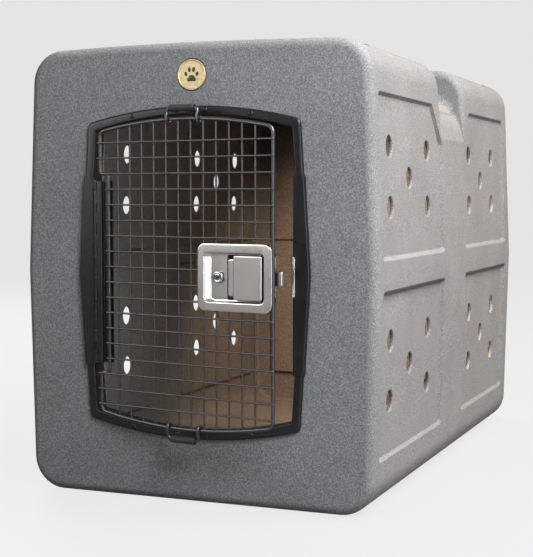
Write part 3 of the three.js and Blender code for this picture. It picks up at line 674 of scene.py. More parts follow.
def outline_half_width(height):
    """Half the frame's width at a height above the parting plane."""
    return FRAME_APEX - (FRAME_APEX - FRAME_SIDE) * abs(height) / FRAME_CORNER


def plate_section(side, height):
    """The bent section of a side plate at one height, as (x, y)."""
    inner, outer = PLATE_INNER, outline_half_width(height) + 1.6
    front = -6.9
    outside = [(inner, 16.0), *arc_profile((inner + 1.9, front + 1.9), 1.9, 180, 270, 5),
               *arc_profile((outer - 2.4, front + 2.4), 2.4, 270, 360, 5), (outer, -0.6)]
    inside = [(outer - 1.1, -0.6), *arc_profile((outer - 2.4, front + 2.4), 1.0, 0, -90, 4),
              *arc_profile((inner + 2.2, front + 2.2), 0.75, 270, 180, 3), (inner + 1.4, 16.0)]
    return [(side * x, FRONT + y) for x, y in outside + inside]


def make_side_plate(name, side, coat):
    heights = [-PLATE_HALF + 2 * PLATE_HALF * step / 26 for step in range(27)]
    rings = [[(x, y, PARTING + height) for x, y in plate_section(side, height)]
             for height in heights]
    plate = make_object(name + "_stamped", [skin(rings)], coat)
    if side > 0:
        cut(plate, [bolt_slot(PLATE_INNER - 2, PLATE_INNER + 3)])
    soften(plate, 0.35)
    return finish_piece(plate, "shell", "powder_coat", name)


def bolt_slot(left, right):
    outline = rounded_rectangle(FRONT - 4.5, FRONT + 8, PARTING + LATCH_Z - 11,
                                PARTING + LATCH_Z + 11, 2.0, 4)
    return skin([[(x, y, z) for y, z in outline] for x in (left, right)])


def make_strike(steel):
    """A bent stainless plate with the slot that the bolt drops into."""
    left, right, front = PLATE_INNER - 1.5, PLATE_INNER - 0.3, -8.6
    section = [(left, 14.0), *arc_profile((left + 1.7, front + 1.7), 1.7, 180, 270, 5),
               (right + 3.4, front), *arc_profile((right + 3.4, front + 0.7), 0.6, 270, 450, 6),
               (right + 0.9, front + 1.35), (right, front + 2.2), (right, 14.0)]
    middle, half = PARTING + LATCH_Z, 26.0
    rings = [[(x, FRONT + min(y, 14.0 - pulled), middle + height) for x, y in section]
             for height, pulled in ((-half, 3.0), (0.8 - half, 1.2), (3.0 - half, 0.0),
                                    (half - 3.0, 0.0), (half - 0.8, 1.2), (half, 3.0))]
    plate = make_object("strike", [skin(rings)], steel)
    cut(plate, [bolt_slot(left - 1, right + 1)])
    soften(plate, 0.25)
    return finish_piece(plate, "shell", "stainless", "strike_plate")


def rivet_places():
    height, drop = FRAME_ARCH - FLANGE / 2, FRAME_ARCH - FRAME_CORNER
    return [(x, PARTING + end * (height - drop * (x / FRAME_SIDE) ** 2))
            for end in (1, -1) for x in (-87, -21, 21, 87)]


def make_rivets(coat):
    """Blind rivets: a low dome with a dimple where the stem broke off."""
    dome = [(0.0, -0.55), (0.75, -0.5), (0.95, -0.95), (1.6, -1.02), (2.5, -0.85),
            (3.15, -0.5), (3.4, -0.1), (3.35, 0.0), (1.6, 0.02), (1.6, 10.5), (0.0, 11.0)]
    for index, (x, z) in enumerate(rivet_places(), 1):
        profile = [(radius, FRONT - 5.3 + y) for radius, y in dome]
        rivet = make_object(f"rivet_{index}", [turned_y(profile, x, z, 28)], coat)
        smooth(rivet, 50)
        finish_piece(rivet, "shell", "powder_coat", f"frame_rivet_{index}")


# ------------------------------------------------------------------ long hinge

def knuckle_spans(first):
    pitch = 2 * HINGE_HALF / KNUCKLES
    return [(-HINGE_HALF + index * pitch + KNUCKLE_GAP,
             -HINGE_HALF + (index + 1) * pitch - KNUCKLE_GAP)
            for index in range(first, KNUCKLES, 2)]


def curled_section(tail, turn):
    """A strip curled round the pin; turn is the side of the barrel that the strip leaves from.

    The curl always runs counter-clockwise. The door leaf's strip arrives the other way, so its
    outline folds back on itself and its end faces cross the pin, out of sight in the hinge.
    """
    outside = arc_profile((0, 0), KNUCKLE_OUTER, turn, turn + 325, 26)
    inside = arc_profile((0, 0), KNUCKLE_INNER, turn + 325, turn, 26)
    return [tail[0], *outside, *inside, tail[1]]


def knuckle(section, bottom, top):
    low, high = [0.97, 1.0], [1.0, 0.97]
    levels = [(bottom, low[0]), (bottom + 0.25, low[1]), (top - 0.25, high[0]), (top, high[1])]
    return skin([[(x * size, y * size, z) for x, y in section] for z, size in levels])


def make_hinge(coat, zinc):
    at_frame = Matrix.Translation(Vector((HINGE_X, FRONT - HINGE_OFF, PARTING)) * MM)
    outer, inner = KNUCKLE_OUTER, KNUCKLE_INNER
    frame_curl = curled_section([(-outer, 6.2), (-inner, 6.2)], 180)
    strip = [(-outer, 5.6), (-inner, 5.6), (-inner, 21.4), (-2.1, 22.0), (-2.8, 22.0),
             (-outer, 21.4)]
    solids = [knuckle(frame_curl, *span) for span in knuckle_spans(0)]
    solids.append(prism_z(strip, -HINGE_HALF, HINGE_HALF))
    leaf = smooth(make_object("frame_leaf", solids, coat, at_frame), 40)
    finish_piece(leaf, "shell", "powder_coat", "hinge_frame_leaf")

    door_curl = curled_section([(6.2, -outer), (6.2, -inner)], -90)
    step = [(5.2, -outer), (10.6, -outer), *arc_profile((10.4, -1.1), 2.0, -90, 0, 4),
            *arc_profile((13.2, 2.0), 0.9, 180, 90, 3), (27.4, 2.9), (28.0, 3.3), (28.0, 3.9),
            (27.4, 4.2), (12.6, 4.2), *arc_profile((12.3, 2.8), 1.3, 90, 180, 3),
            *arc_profile((10.3, -0.9), 0.8, 0, -80, 3), (5.2, -inner)]
    solids = [knuckle(door_curl, *span) for span in knuckle_spans(1)]
    solids.append(prism_z(step, -HINGE_HALF, HINGE_HALF))
    leaf = smooth(make_object("door_leaf", solids, coat, AT_DOOR), 40)
    finish_piece(leaf, "door", "powder_coat", "hinge_door_leaf")

    ends = HINGE_HALF + 0.3
    pin_profile = [(0.4, -ends - 0.7), (1.3, -ends - 0.5), (1.7, -ends - 0.1), (1.5, -ends + 0.3),
                   (1.5, ends - 0.3), (1.7, ends + 0.1), (1.3, ends + 0.5), (0.4, ends + 0.7)]
    pin = smooth(make_object("pin", [turned_z(pin_profile, 0, 0, 20)], zinc, at_frame), 50)
    finish_piece(pin, "shell", "zinc_plate", "hinge_pin")


# ------------------------------------------------------------------ wire door

def rim_height(x):
    middle = (RIM_LEFT + RIM_RIGHT) / 2
    share = (x - middle) / (RIM_RIGHT - middle)
    return RIM_CORNER + (RIM_ARCH - RIM_CORNER) * (1 - share * share)


def rim_path():
    along = [RIM_LEFT + (RIM_RIGHT - RIM_LEFT) * step / 16 for step in range(1, 16)]
    top = [(x, rim_height(x), 0) for x in reversed(along)]
    bottom = [(x, -rim_height(x), 0) for x in along]
    loop = rounded_loop([
        (RIM_RIGHT, -60, 0), (RIM_RIGHT, 60, 0), (RIM_RIGHT, RIM_CORNER, 10), *top,
        (RIM_LEFT, RIM_CORNER, 8), (RIM_LEFT, JOG_TOP, 5), (RIM_HINGE_SIDE, JOG_TOP, 6),
        (RIM_HINGE_SIDE, JOG_BOTTOM, 6), (RIM_LEFT, JOG_BOTTOM, 5),
        (RIM_LEFT, -RIM_CORNER, 8), *bottom, (RIM_RIGHT, -RIM_CORNER, 10)], 8)
    return [(x, 0.0, z) for x, z in loop]


def weld_bead(x, y, z):
    """The small fillet that a spot weld leaves between two crossed wires."""
    rings = []
    for share in (-1.0, -0.72, 0.0, 0.72, 1.0):
        size = 1.75 * math.sqrt(max(1.0 - share * share, 0.03))
        rings.append([(px, y + 1.25 * share, pz) for px, pz in circle(size, (x, z), 10)])
    return skin(rings)


def make_wire_panel(coat):
    """The rim, its wires and the weld beads; wires stop at the latch where it is in the way."""
    uprights = [FIRST_UPRIGHT + UPRIGHT_PITCH * index for index in range(UPRIGHTS)]
    levels = [FIRST_LEVEL - LEVEL_PITCH * index for index in range(LEVELS)]
    left_edge = LATCH_X - LATCH_WIDTH / 2 + 2
    low_edge, high_edge = LATCH_Z - LATCH_HEIGHT / 2 + 3, LATCH_Z + LATCH_HEIGHT / 2 - 3
    solids = [tube(rim_path(), RIM_RADIUS, 16, closed=True)]
    for x in uprights:
        top = rim_height(x)
        if x > left_edge:
            solids.append(straight_wire((x, 0, -top), (x, 0, low_edge - 2), WIRE_RADIUS))
            solids.append(straight_wire((x, 0, high_edge + 2), (x, 0, top), WIRE_RADIUS))
        else:
            solids.append(straight_wire((x, 0, -top), (x, 0, top), WIRE_RADIUS))
    for z in levels:
        beside_hinge = JOG_BOTTOM < z < JOG_TOP + 1
        start = (RIM_HINGE_SIDE if beside_hinge else RIM_LEFT) - 2.5
        blocked = low_edge < z < high_edge
        end = left_edge - 1 if blocked else RIM_RIGHT + 1.2
        solids.append(straight_wire((start, LEVEL_Y - 0.35, z), (end, LEVEL_Y, z), WIRE_RADIUS))
        solids.append(weld_bead(start + 2.5, LEVEL_Y + 0.9, z))
        if not blocked:
            solids.append(weld_bead(RIM_RIGHT, LEVEL_Y + 0.9, z))
        for x in uprights:
            if not (x > left_edge and blocked):
                solids.append(weld_bead(x, LEVEL_Y / 2, z))
    panel = smooth(make_object("wire_panel", solids, coat, AT_DOOR), 60)
    return finish_piece(panel, "door", "powder_coat", "door_wire_panel")


def stop_path(end):
    height = rim_height(STOP_CENTRE + STOP_SPREAD)

    def leg(side):
        x = STOP_CENTRE + side * STOP_SPREAD
        hook = [(x, HOOK_RADIUS * math.cos(math.radians(angle)),
                 height + HOOK_RADIUS * math.sin(math.radians(angle)))
                for angle in range(20, -186, -15)]
        rise = [(x, -4.75, height + 4.0), (x, SLEEVE_Y - 1.2, SLEEVE_HEIGHT - 7.0)]
        bend = [(x - side * (5.5 - 5.5 * math.cos(math.radians(angle))), SLEEVE_Y,
                 SLEEVE_HEIGHT - 5.5 + 5.5 * math.sin(math.radians(angle)))
                for angle in range(0, 91, 15)]
        return hook + rise + bend

    path = leg(-1) + list(reversed(leg(1)))
    return [(x, y, end * z) for x, y, z in path]


def make_stops(coat, rubber):
    for end, name in ((1, "upper"), (-1, "lower")):
        loop = make_object(name + "_loop", [tube(stop_path(end), STOP_WIRE, 14)], coat, AT_DOOR)
        smooth(loop, 60)
        finish_piece(loop, "door", "powder_coat", name + "_stop_loop")
        z = end * SLEEVE_HEIGHT
        left, right = STOP_CENTRE - 19.2, STOP_CENTRE + 19.2
        profile = [(2.5, left + 0.6), (3.9, left - 0.3), (4.6, left + 0.2), (4.8, left + 1.2),
                   (4.75, left + 9), (4.65, STOP_CENTRE), (4.75, right - 9), (4.8, right - 1.2),
                   (4.6, right - 0.2), (3.9, right + 0.3), (2.5, right - 0.6)]
        rings = [[(x, py, pz) for py, pz in circle(radius, (SLEEVE_Y, z), 28)]
                 for radius, x in profile]
        sleeve = make_object(name + "_sleeve", [skin(rings, closed=True)], rubber, AT_DOOR)
        smooth(sleeve, 60)
        finish_piece(sleeve, "door", "stop_rubber", name + "_stop_sleeve")


# ------------------------------------------------------------------ paddle latch

def boxed_loop(box, grow, y, radius):
    left, right, bottom, top = box
    loop = rounded_rectangle(left - grow, right + grow, bottom - grow, top + grow,
                             max(radius + grow, 0.5), 6)
    return [(x, y, z) for x, z in loop]


def boxed_rings(box, radius, steps):
    """Loops round one box; the steps are (growth, y)."""
    return [boxed_loop(box, grow, y, radius) for grow, y in steps]


FLANGE_BOX = (LATCH_X - LATCH_WIDTH / 2, LATCH_X + LATCH_WIDTH / 2,
              LATCH_Z - LATCH_HEIGHT / 2, LATCH_Z + LATCH_HEIGHT / 2)
TRAY_BOX = (TRAY_X - TRAY_WIDTH / 2, TRAY_X + TRAY_WIDTH / 2,
            LATCH_Z - TRAY_HEIGHT / 2, LATCH_Z + TRAY_HEIGHT / 2)
FLOOR_BOX = (LAND_START, *TRAY_BOX[1:])
STUDS = [(LATCH_X + across * 49.5, LATCH_Z + up * 38.5) for across in (-1, 1) for up in (-1, 1)]


def make_latch_pan(steel):
    """A pressed pan: a flat flange with a tray, whose left wall slopes down to the lock."""
    back = LATCH_FRONT + SHEET
    inside_floor = [(-2.6, TRAY_FLOOR), (-1.2, TRAY_FLOOR - 0.4), (-0.7, TRAY_FLOOR - 1.4)]
    inside_wall = [(-0.1, -2.6), (0.15, -3.5), (0.8, -4.2), (1.8, LATCH_FRONT)]
    flange = [(-2.0, LATCH_FRONT), (-0.9, LATCH_FRONT + 0.06), (-0.25, LATCH_FRONT + 0.4),
              (0, -3.6), (-0.1, back - 0.1), (-0.8, back)]
    outside_wall = [(3.0, back), (1.6, back + 1.0)]
    outside_floor = [(0.9, TRAY_FLOOR + 0.6), (-1.2, TRAY_FLOOR + 1.5)]
    rings = [*boxed_rings(FLOOR_BOX, 6, inside_floor), *boxed_rings(TRAY_BOX, 6, inside_wall),
             *boxed_rings(FLANGE_BOX, 11, flange), *boxed_rings(TRAY_BOX, 6, outside_wall),
             *boxed_rings(FLOOR_BOX, 6, outside_floor)]
    pan = make_object("pan", [skin(rings)], steel, AT_DOOR)
    window = rounded_rectangle(214.5, 270.6, TRAY_BOX[2] + 2.4, TRAY_BOX[3] - 2.4, 3)
    cut(pan, [prism_y(window, TRAY_FLOOR - 2, TRAY_FLOOR + 6)], AT_DOOR)
    cut(pan, [turned_y([(6.2, 0.5), (6.2, 6)], LOCK_X, LATCH_Z, 32)], AT_DOOR)
    studs = [turned_y([(1.0, -3.2), (1.9, -3.0), (1.9, 4.6), (1.5, 5.0)], x, z, 16)
             for x, z in STUDS]
    add_loose(pan, studs)
    smooth(pan, 42)
    return finish_piece(pan, "door", "stainless", "latch_pan")


def add_loose(obj, solids):
    """Adds solids that only touch the piece, as welded studs do."""
    extra = make_object("extra", solids, None)
    build = bmesh.new()
    build.from_mesh(obj.data)
    build.from_mesh(extra.data)
    build.to_mesh(obj.data)
    build.free()
    discard(extra)


def make_paddle(steel):
    """The hollow-backed paddle, its tongue, two ears and the arm that works the bolt.

    The ears and the arm have no bore, so the axle runs through solid metal, out of sight.
    """
    bottom, top = LATCH_Z - PADDLE_HEIGHT / 2, LATCH_Z + PADDLE_HEIGHT / 2
    front = LATCH_FRONT + 0.5
    body = boxed_rings((PADDLE_LEFT, PADDLE_RIGHT, bottom, top), 3, [
        (-3.0, front + 1.6), (-1.8, front + 2.1), (-1.5, front + 3.2), (-1.4, 1.3), (-0.7, 1.6),
        (0.0, 1.3), (0.0, front + 1.9), (-0.35, front + 0.8), (-1.0, front + 0.2), (-1.9, front)])
    tongue = boxed_rings((218.6, PADDLE_LEFT + 3, LATCH_Z - 24, LATCH_Z + 24), 4, [
        (-1.2, front + 3.6), (0, front + 3.0), (0, front + 2.2), (-0.5, front + 1.75),
        (-1.4, front + 1.6)])
    ear_half, arm_half, arm_reach, thickness = 3.8, 1.5, 20.2, 1.5
    ear = rounded_rectangle(PIN_X - ear_half, PIN_X + ear_half, -2.6, PIN_Y + ear_half, 3.6)
    arm = rounded_rectangle(PIN_X - arm_half, PIN_X + arm_half, -2.6, arm_reach, 1.2)
    levers = [prism_z(ear, start, start + thickness) for start in (bottom + 0.1, top - 1.6)]
    levers.append(prism_z(arm, LATCH_Z - 4, LATCH_Z + 4))
    paddle = make_object("paddle", [skin(body), skin(tongue), *levers], steel, AT_DOOR)
    soften(paddle, 0.25)
    return finish_piece(paddle, "paddle", "stainless", "latch_paddle")


def make_bolt(steel):
    """A flat bar with a bevelled tip and a fork that the paddle's arm works in."""
    front, back, tail, tip = 5.2, 14.0, 238.0, 295.5
    half, lugs, lug_back, window_end = 9, ((260.0, 263.4), (270.2, 273.0)), 22, 276
    bar_section = [(tail, front), (tip - 0.8, front), (tip, front + 0.9), (tip, front + 5),
                   (tip - 6, back), (tail, back)]
    low, high = LATCH_Z - half, LATCH_Z + half
    bolt = make_object("bolt", [prism_z(bar_section, low, high)], steel, AT_DOOR)
    for left, right in lugs:
        fuse(bolt, [box_solid(left, right, back - 1, lug_back, low, high)], AT_DOOR)
    window = box_solid(lugs[0][1], window_end, front - 1, back + 1.05, LATCH_Z - 5, LATCH_Z + 5)
    cut(bolt, [window], AT_DOOR)
    soften(bolt, 0.5)
    return finish_piece(bolt, "bolt", "stainless", "latch_bolt")


def make_housing(steel):
    """A folded sheet box behind the tray that guides the bolt, with a slot for the cam."""
    left, right, slope_start, slope_end, back, sheet = 214.0, 284.5, 8.0, 275.0, 24.0, 1.5
    front = TRAY_FLOOR + 1.8
    bottom, top = LATCH_Z - 31, LATCH_Z + 31
    outer = [(left, back), (slope_end, back), (right, slope_start), (right, front - 1),
             (right - sheet, front - 1), (right - sheet, slope_start - 0.6),
             (slope_end - 0.6, back - sheet), (left, back - sheet)]
    housing = make_object("housing", [prism_z(outer, bottom, top)], steel, AT_DOOR)
    end_plate = [(left + 0.01, front), (left + 0.01, back - 0.8), (slope_end - 0.4, back - 0.8),
                 (right - 0.8, slope_start - 0.2), (right - 0.8, front)]
    for low, high in ((bottom, bottom + sheet), (top - sheet, top)):
        fuse(housing, [prism_z(end_plate, low, high)], AT_DOOR)
    left_end = box_solid(left + 0.02, left + sheet, front, back - 0.7, bottom + 0.4, top - 0.4)
    fuse(housing, [left_end], AT_DOOR)
    cam_slot = box_solid(left - 1, left + 3, 7.7, 10.9, LATCH_Z - 21, LATCH_Z + 7)
    bolt_hole = box_solid(slope_end, right + 1, 4.7, 14.5, LATCH_Z - 9.8, LATCH_Z + 9.8)
    for hole in (cam_slot, bolt_hole):
        cut(housing, [hole], AT_DOOR)
    for z in (LATCH_Z - 18, LATCH_Z + 18):
        dimple = [(2.4, back + 1), (2.2, back - 0.3), (1.2, back - 0.6), (0.4, back - 0.65)]
        for x in (225.0, 248.0):
            cut(housing, [turned_y(dimple, x, z, 20)], AT_DOOR)
    soften(housing, 0.3)
    return finish_piece(housing, "door", "stainless", "bolt_housing")


def make_mounting_plate(coat):
    front = LATCH_FRONT + SHEET + 0.3
    box = (FLANGE_BOX[0] + 3.5, FLANGE_BOX[1] - 3.5, FLANGE_BOX[2], FLANGE_BOX[3])
    rings = boxed_rings(box, 4, [(0, front), (0, front + 2)])
    plate = make_object("mounting_plate", [skin(rings)], coat, AT_DOOR)
    window = boxed_rings(TRAY_BOX, 6, [(2.25, front - 1), (2.25, front + 3)])
    cut(plate, [skin(window)], AT_DOOR)
    soften(plate, 0.4)
    return finish_piece(plate, "door", "powder_coat", "latch_mounting_plate")


def hexagon(radius, x, z, per_side=4):
    corners = [(x + radius * math.cos(math.pi / 3 * k), z + radius * math.sin(math.pi / 3 * k))
               for k in range(6)]
    outline = []
    for index, start in enumerate(corners):
        end = corners[(index + 1) % 6]
        outline += [(start[0] + (end[0] - start[0]) * step / per_side,
                     start[1] + (end[1] - start[1]) * step / per_side)
                    for step in range(per_side)]
    return outline


def nut_solid(radius, bore, x, z, front, back):
    """A chamfered hexagon nut along Y."""
    def at(outline, y):
        return [(px, y, pz) for px, pz in outline]
    face, hole, mouth = (circle(size, (x, z), 24) for size in (radius * 0.87, bore, bore + 0.35))
    flat = hexagon(radius, x, z)
    return skin([at(face, front), at(flat, front + 0.5), at(flat, back - 0.5), at(face, back),
                 at(mouth, back), at(hole, back - 0.35), at(hole, front + 0.35), at(mouth, front)],
                closed=True)


def make_lock(steel, zinc):
    """The key cylinder: its body, the plug with its keyway and the nut behind the tray."""
    body_section = [(4.8, -1.45), (6.3, -1.7), (7.3, -1.35), (7.8, -0.5), (7.8, 2.1), (7.5, 2.2),
                    (6.0, 2.2), (6.0, 7.3), (5.8, 7.5), (4.8, 7.5)]
    rings = [[(x, y, z) for x, z in circle(radius, (LOCK_X, LATCH_Z), 40)]
             for radius, y in body_section]
    body = smooth(make_object("lock_barrel", [skin(rings, closed=True)], steel, AT_DOOR), 45)
    finish_piece(body, "door", "stainless", "lock_body")

    plug_section = [(0.3, -1.75), (3.9, -1.8), (4.45, -1.55), (4.6, -1.1), (4.6, 7.8), (4.3, 8.0),
                    (0.3, 8.0)]
    plug = make_object("lock_core", [turned_y(plug_section, LOCK_X, LATCH_Z, 40)], steel, AT_DOOR)
    cut(plug, [box_solid(LOCK_X - 0.65, LOCK_X + 0.65, -3, 3, LATCH_Z - 2.9, LATCH_Z + 2.9)],
        AT_DOOR)
    cut(plug, [box_solid(LOCK_X - 0.1, LOCK_X + 1.3, -3, 2.5, LATCH_Z - 1.2, LATCH_Z + 0.2)],
        AT_DOOR)
    smooth(plug, 40)
    finish_piece(plug, "lock", "stainless", "lock_plug")

    front = TRAY_FLOOR + 1.8
    ring = nut_solid(9, 6.2, LOCK_X, LATCH_Z, front, front + 2.4)
    nut = smooth(make_object("lock_ring_nut", [ring], zinc, AT_DOOR), 35)
    finish_piece(nut, "door", "zinc_plate", "lock_nut")


def make_lock_cam(zinc):
    """The cam on the plug's end and the screw that holds it."""
    bar = rounded_rectangle(LOCK_X - CAM_HALF, LOCK_X + CAM_HALF, LATCH_Z - CAM_REACH,
                            LATCH_Z + CAM_HEAD, 3.5)
    cam = make_object("cam", [prism_y(bar, CAM_FRONT, CAM_BACK)], zinc, AT_DOOR)
    cut(cam, [turned_y([(1.7, 7), (1.7, 12)], LOCK_X, LATCH_Z, 24)], AT_DOOR)
    soften(cam, 0.35)
    finish_piece(cam, "lock", "zinc_plate", "lock_cam")

    centre = (LOCK_X, LATCH_Z)
    shank, rim, crown, tip = (circle(radius, centre, 24) for radius in (1.45, 3.2, 3.1, 0.6))
    flats = hexagon(3.6, *centre)
    screw_rings = [[(x, y, z) for x, z in outline]
                   for outline, y in ((shank, 8.4), (shank, 10.6), (rim, 10.6), (flats, 11.0),
                                      (flats, 12.3), (crown, 12.8), (tip, 12.8))]
    screw = smooth(make_object("cam_bolt", [skin(screw_rings)], zinc, AT_DOOR), 35)
    finish_piece(screw, "lock", "zinc_plate", "cam_screw")


def make_latch_small_parts(steel, zinc):
    """The paddle's axle and return spring, and the nuts on the pan's studs."""
    half = TRAY_HEIGHT / 2 + 1.5
    pin_profile = [(0.4, LATCH_Z - half), (1.35, LATCH_Z - half + 0.1), (1.6, LATCH_Z - half + 0.5),
                   (1.6, LATCH_Z + half - 0.5), (1.35, LATCH_Z + half - 0.1), (0.4, LATCH_Z + half)]
    pin = smooth(make_object("paddle_axle", [turned_z(pin_profile, PIN_X, PIN_Y, 24)], steel,
                             AT_DOOR), 50)
    finish_piece(pin, "door", "stainless", "paddle_pin")

    steps, count, lift, radius = 18, 99, 8.0, 2.5
    coil = [(PIN_X + radius * math.cos(2 * math.pi * step / steps),
             PIN_Y + radius * math.sin(2 * math.pi * step / steps),
             LATCH_Z + 8.5 + lift * step / count) for step in range(count + 1)]
    tail = [(PIN_X - radius, PIN_Y + reach, LATCH_Z + 16.6) for reach in (4.0, 7.0)]
    spring = smooth(make_object("return_spring", [tube(coil + tail, 0.45, 8)], zinc, AT_DOOR), 60)
    finish_piece(spring, "door", "zinc_plate", "paddle_spring")

    front = LATCH_FRONT + SHEET + 2.6
    for index, (x, z) in enumerate(STUDS, 1):
        nut = make_object(f"stud_nut_{index}", [nut_solid(4, 2.1, x, z, front, front + 3.2)], zinc,
                          AT_DOOR)
        smooth(nut, 35)
        finish_piece(nut, "door", "zinc_plate", f"latch_nut_{index}")


# ------------------------------------------------------------------ badge

def low_dome(x, z, wide, tall, tilt, base_y, height):
    """An oval pad that stands proud of the badge."""
    rings = []
    for share in (0.0, 0.45, 0.75, 0.93, 1.0):
        size = math.sqrt(1 - share * share) if share < 1 else 0.06
        loop = []
        for px, pz in circle(1.0, sides=28):
            turned_x = px * wide * math.cos(tilt) - pz * tall * math.sin(tilt)
            turned_up = px * wide * math.sin(tilt) + pz * tall * math.cos(tilt)
            loop.append((x + turned_x * size, base_y - height * share, z + turned_up * size))
        rings.append(loop)
    return skin(rings)


def make_badge(brass, enamel):
    """A plain brass disc with one raised rim and a paw print."""
    seat = FRONT + 1.3
    section = [(0.1, 0.0), (20.2, 0.0), (20.6, -0.4), (20.6, -2.0), (20.2, -2.55), (19.5, -2.7),
               (18.9, -2.55), (18.5, -2.1), (18.1, -1.95), (10.0, -2.05), (0.1, -2.1)]
    disc = make_object("badge_disc", [turned_y([(r, seat + y) for r, y in section], 0,
                                               BADGE_HEIGHT, 72)], brass)
    smooth(disc, 45)
    finish_piece(disc, "shell", "badge_brass", "badge")
    face = seat - 1.9
    toes = [(-8.2, 1.2, 2.3, 3.3, 0.45), (-3.1, 6.6, 2.5, 3.7, 0.12),
            (3.1, 6.6, 2.5, 3.7, -0.12), (8.2, 1.2, 2.3, 3.3, -0.45)]
    pads = [low_dome(x, BADGE_HEIGHT + z, wide, tall, tilt, face, 0.65)
            for x, z, wide, tall, tilt in toes]
    lobes = [(0, -4.4, 5.3, 4.4), (-3.6, -6.4, 3.2, 2.9), (3.6, -6.4, 3.2, 2.9)]
    pads += [low_dome(x, BADGE_HEIGHT + z, wide, tall, 0, face, 0.75)
             for x, z, wide, tall in lobes]
    paw = smooth(make_object("badge_paw", pads, enamel), 60)
    finish_piece(paw, "shell", "badge_brass")


# ------------------------------------------------------------------ materials

class Nodes:
    """Short calls for building one material's node tree."""

    def __init__(self, name):
        self.material = bpy.data.materials.new(name)
        self.material.use_nodes = True
        self.tree = self.material.node_tree
        self.shader = self.tree.nodes["Principled BSDF"]
        self.place = self.tree.nodes.new("ShaderNodeTexCoord").outputs["Object"]

    def add(self, kind, **values):
        node = self.tree.nodes.new(kind)
        for key, value in values.items():
            setattr(node, key, value)
        return node

    def link(self, start, end):
        self.tree.links.new(start, end)

    def set(self, name, value):
        self.shader.inputs[name].default_value = value

    def scaled(self, scale):
        mapping = self.add("ShaderNodeMapping")
        mapping.inputs["Scale"].default_value = scale
        self.link(self.place, mapping.inputs["Vector"])
        return mapping.outputs["Vector"]

    def noise(self, scale, detail=2.0, roughness=0.5, vector=None):
        node = self.add("ShaderNodeTexNoise")
        node.inputs["Scale"].default_value = scale
        node.inputs["Detail"].default_value = detail
        node.inputs["Roughness"].default_value = roughness
        self.link(vector or self.place, node.inputs["Vector"])
        return node.outputs["Fac"]

    def cells(self, scale, randomness=1.0):
        node = self.add("ShaderNodeTexVoronoi")
        node.inputs["Scale"].default_value = scale
        node.inputs["Randomness"].default_value = randomness
        self.link(self.place, node.inputs["Vector"])
        return node

    def ramp(self, source, stops):
        node = self.add("ShaderNodeValToRGB")
        elements = node.color_ramp.elements
        while len(elements) < len(stops):
            elements.new(0.5)
        for element, (position, colour) in zip(elements, stops):
            element.position = position
            element.color = (*colour, 1.0)
        self.link(source, node.inputs["Fac"])
        return node.outputs["Color"]

    def span(self, source, low, high, start=0.0, end=1.0):
        node = self.add("ShaderNodeMapRange")
        for name, value in (("From Min", start), ("From Max", end),
                            ("To Min", low), ("To Max", high)):
            node.inputs[name].default_value = value
        self.link(source, node.inputs["Value"])
        return node.outputs["Result"]

    def mix(self, first, second, share, blend="MIX"):
        node = self.add("ShaderNodeMix", data_type="RGBA", blend_type=blend)
        for socket, value in ((node.inputs[6], first), (node.inputs[7], second)):
            if isinstance(value, tuple):
                socket.default_value = (*value, 1.0)
            else:
                self.link(value, socket)
        if isinstance(share, float):
            node.inputs[0].default_value = share
        else:
            self.link(share, node.inputs[0])
        return node.outputs[2]

    def bump(self, height, strength, distance, normal=None):
        node = self.add("ShaderNodeBump")
        node.inputs["Strength"].default_value = strength
        node.inputs["Distance"].default_value = distance
        self.link(height, node.inputs["Height"])
        if normal:
            self.link(normal, node.inputs["Normal"])
        return node.outputs["Normal"]

    def finish(self, colour, roughness, normal=None):
        for name, value in (("Base Color", colour), ("Roughness", roughness)):
            if isinstance(value, tuple):
                self.set(name, (*value, 1.0))
            elif isinstance(value, float):
                self.set(name, value)
            else:
                self.link(value, self.shader.inputs[name])
        if normal:
            self.link(normal, self.shader.inputs["Normal"])
        return self.material


def granite_material(name, tint, brightness):
    """Moulded plastic with a granite speckle, a soft mottle and a slightly pebbled skin."""
    n = Nodes(name)
    fine = n.noise(640, 3.0, 0.65)
    dark, middle, light = ([channel * level * brightness for channel in tint]
                           for level in (0.100, 0.195, 0.325))
    speckle = n.ramp(fine, [(0.30, dark), (0.44, [(a + b) / 2 for a, b in zip(dark, middle)]),
                            (0.52, middle), (0.70, light)])
    flecks = n.cells(350)
    fleck_mask = n.span(flecks.outputs["Distance"], 0.6, 0.0, 0.0, 0.36)
    with_flecks = n.mix(speckle, tuple(dark), fleck_mask)
    mottle = n.ramp(n.noise(9, 3.0, 0.6), [(0.3, (0.90, 0.90, 0.90)), (0.7, (1.07, 1.07, 1.07))])
    colour = n.mix(with_flecks, mottle, 1.0, "MULTIPLY")
    pebbles = n.bump(n.noise(380, 3.0, 0.6), 0.20, 0.0006)
    waves = n.bump(n.noise(11, 1.0, 0.4), 0.05, 0.004, pebbles)
    n.set("Specular IOR Level", 0.35)
    return n.finish(colour, n.span(fine, 0.62, 0.82), waves)


def coat_material(name, depth, gloss):
    """Charcoal powder coat: glossy over a fine orange peel, with a trace of dust."""
    n = Nodes(name)
    grain = n.noise(900, 3.0, 0.6)
    colour = n.ramp(grain, [(0.35, [channel * depth for channel in (0.005, 0.0055, 0.0065)]),
                            (0.65, [channel * depth for channel in (0.013, 0.0145, 0.017)])])
    dust = n.span(n.noise(30, 3.0, 0.6), 0.0, 0.03, 0.5, 0.8)
    dusty = n.mix(colour, (0.10, 0.10, 0.10), dust)
    n.set("Specular IOR Level", gloss)
    return n.finish(dusty, n.span(n.noise(60, 2.0), 0.24, 0.36),
                    n.bump(grain, 0.16, 0.0003))


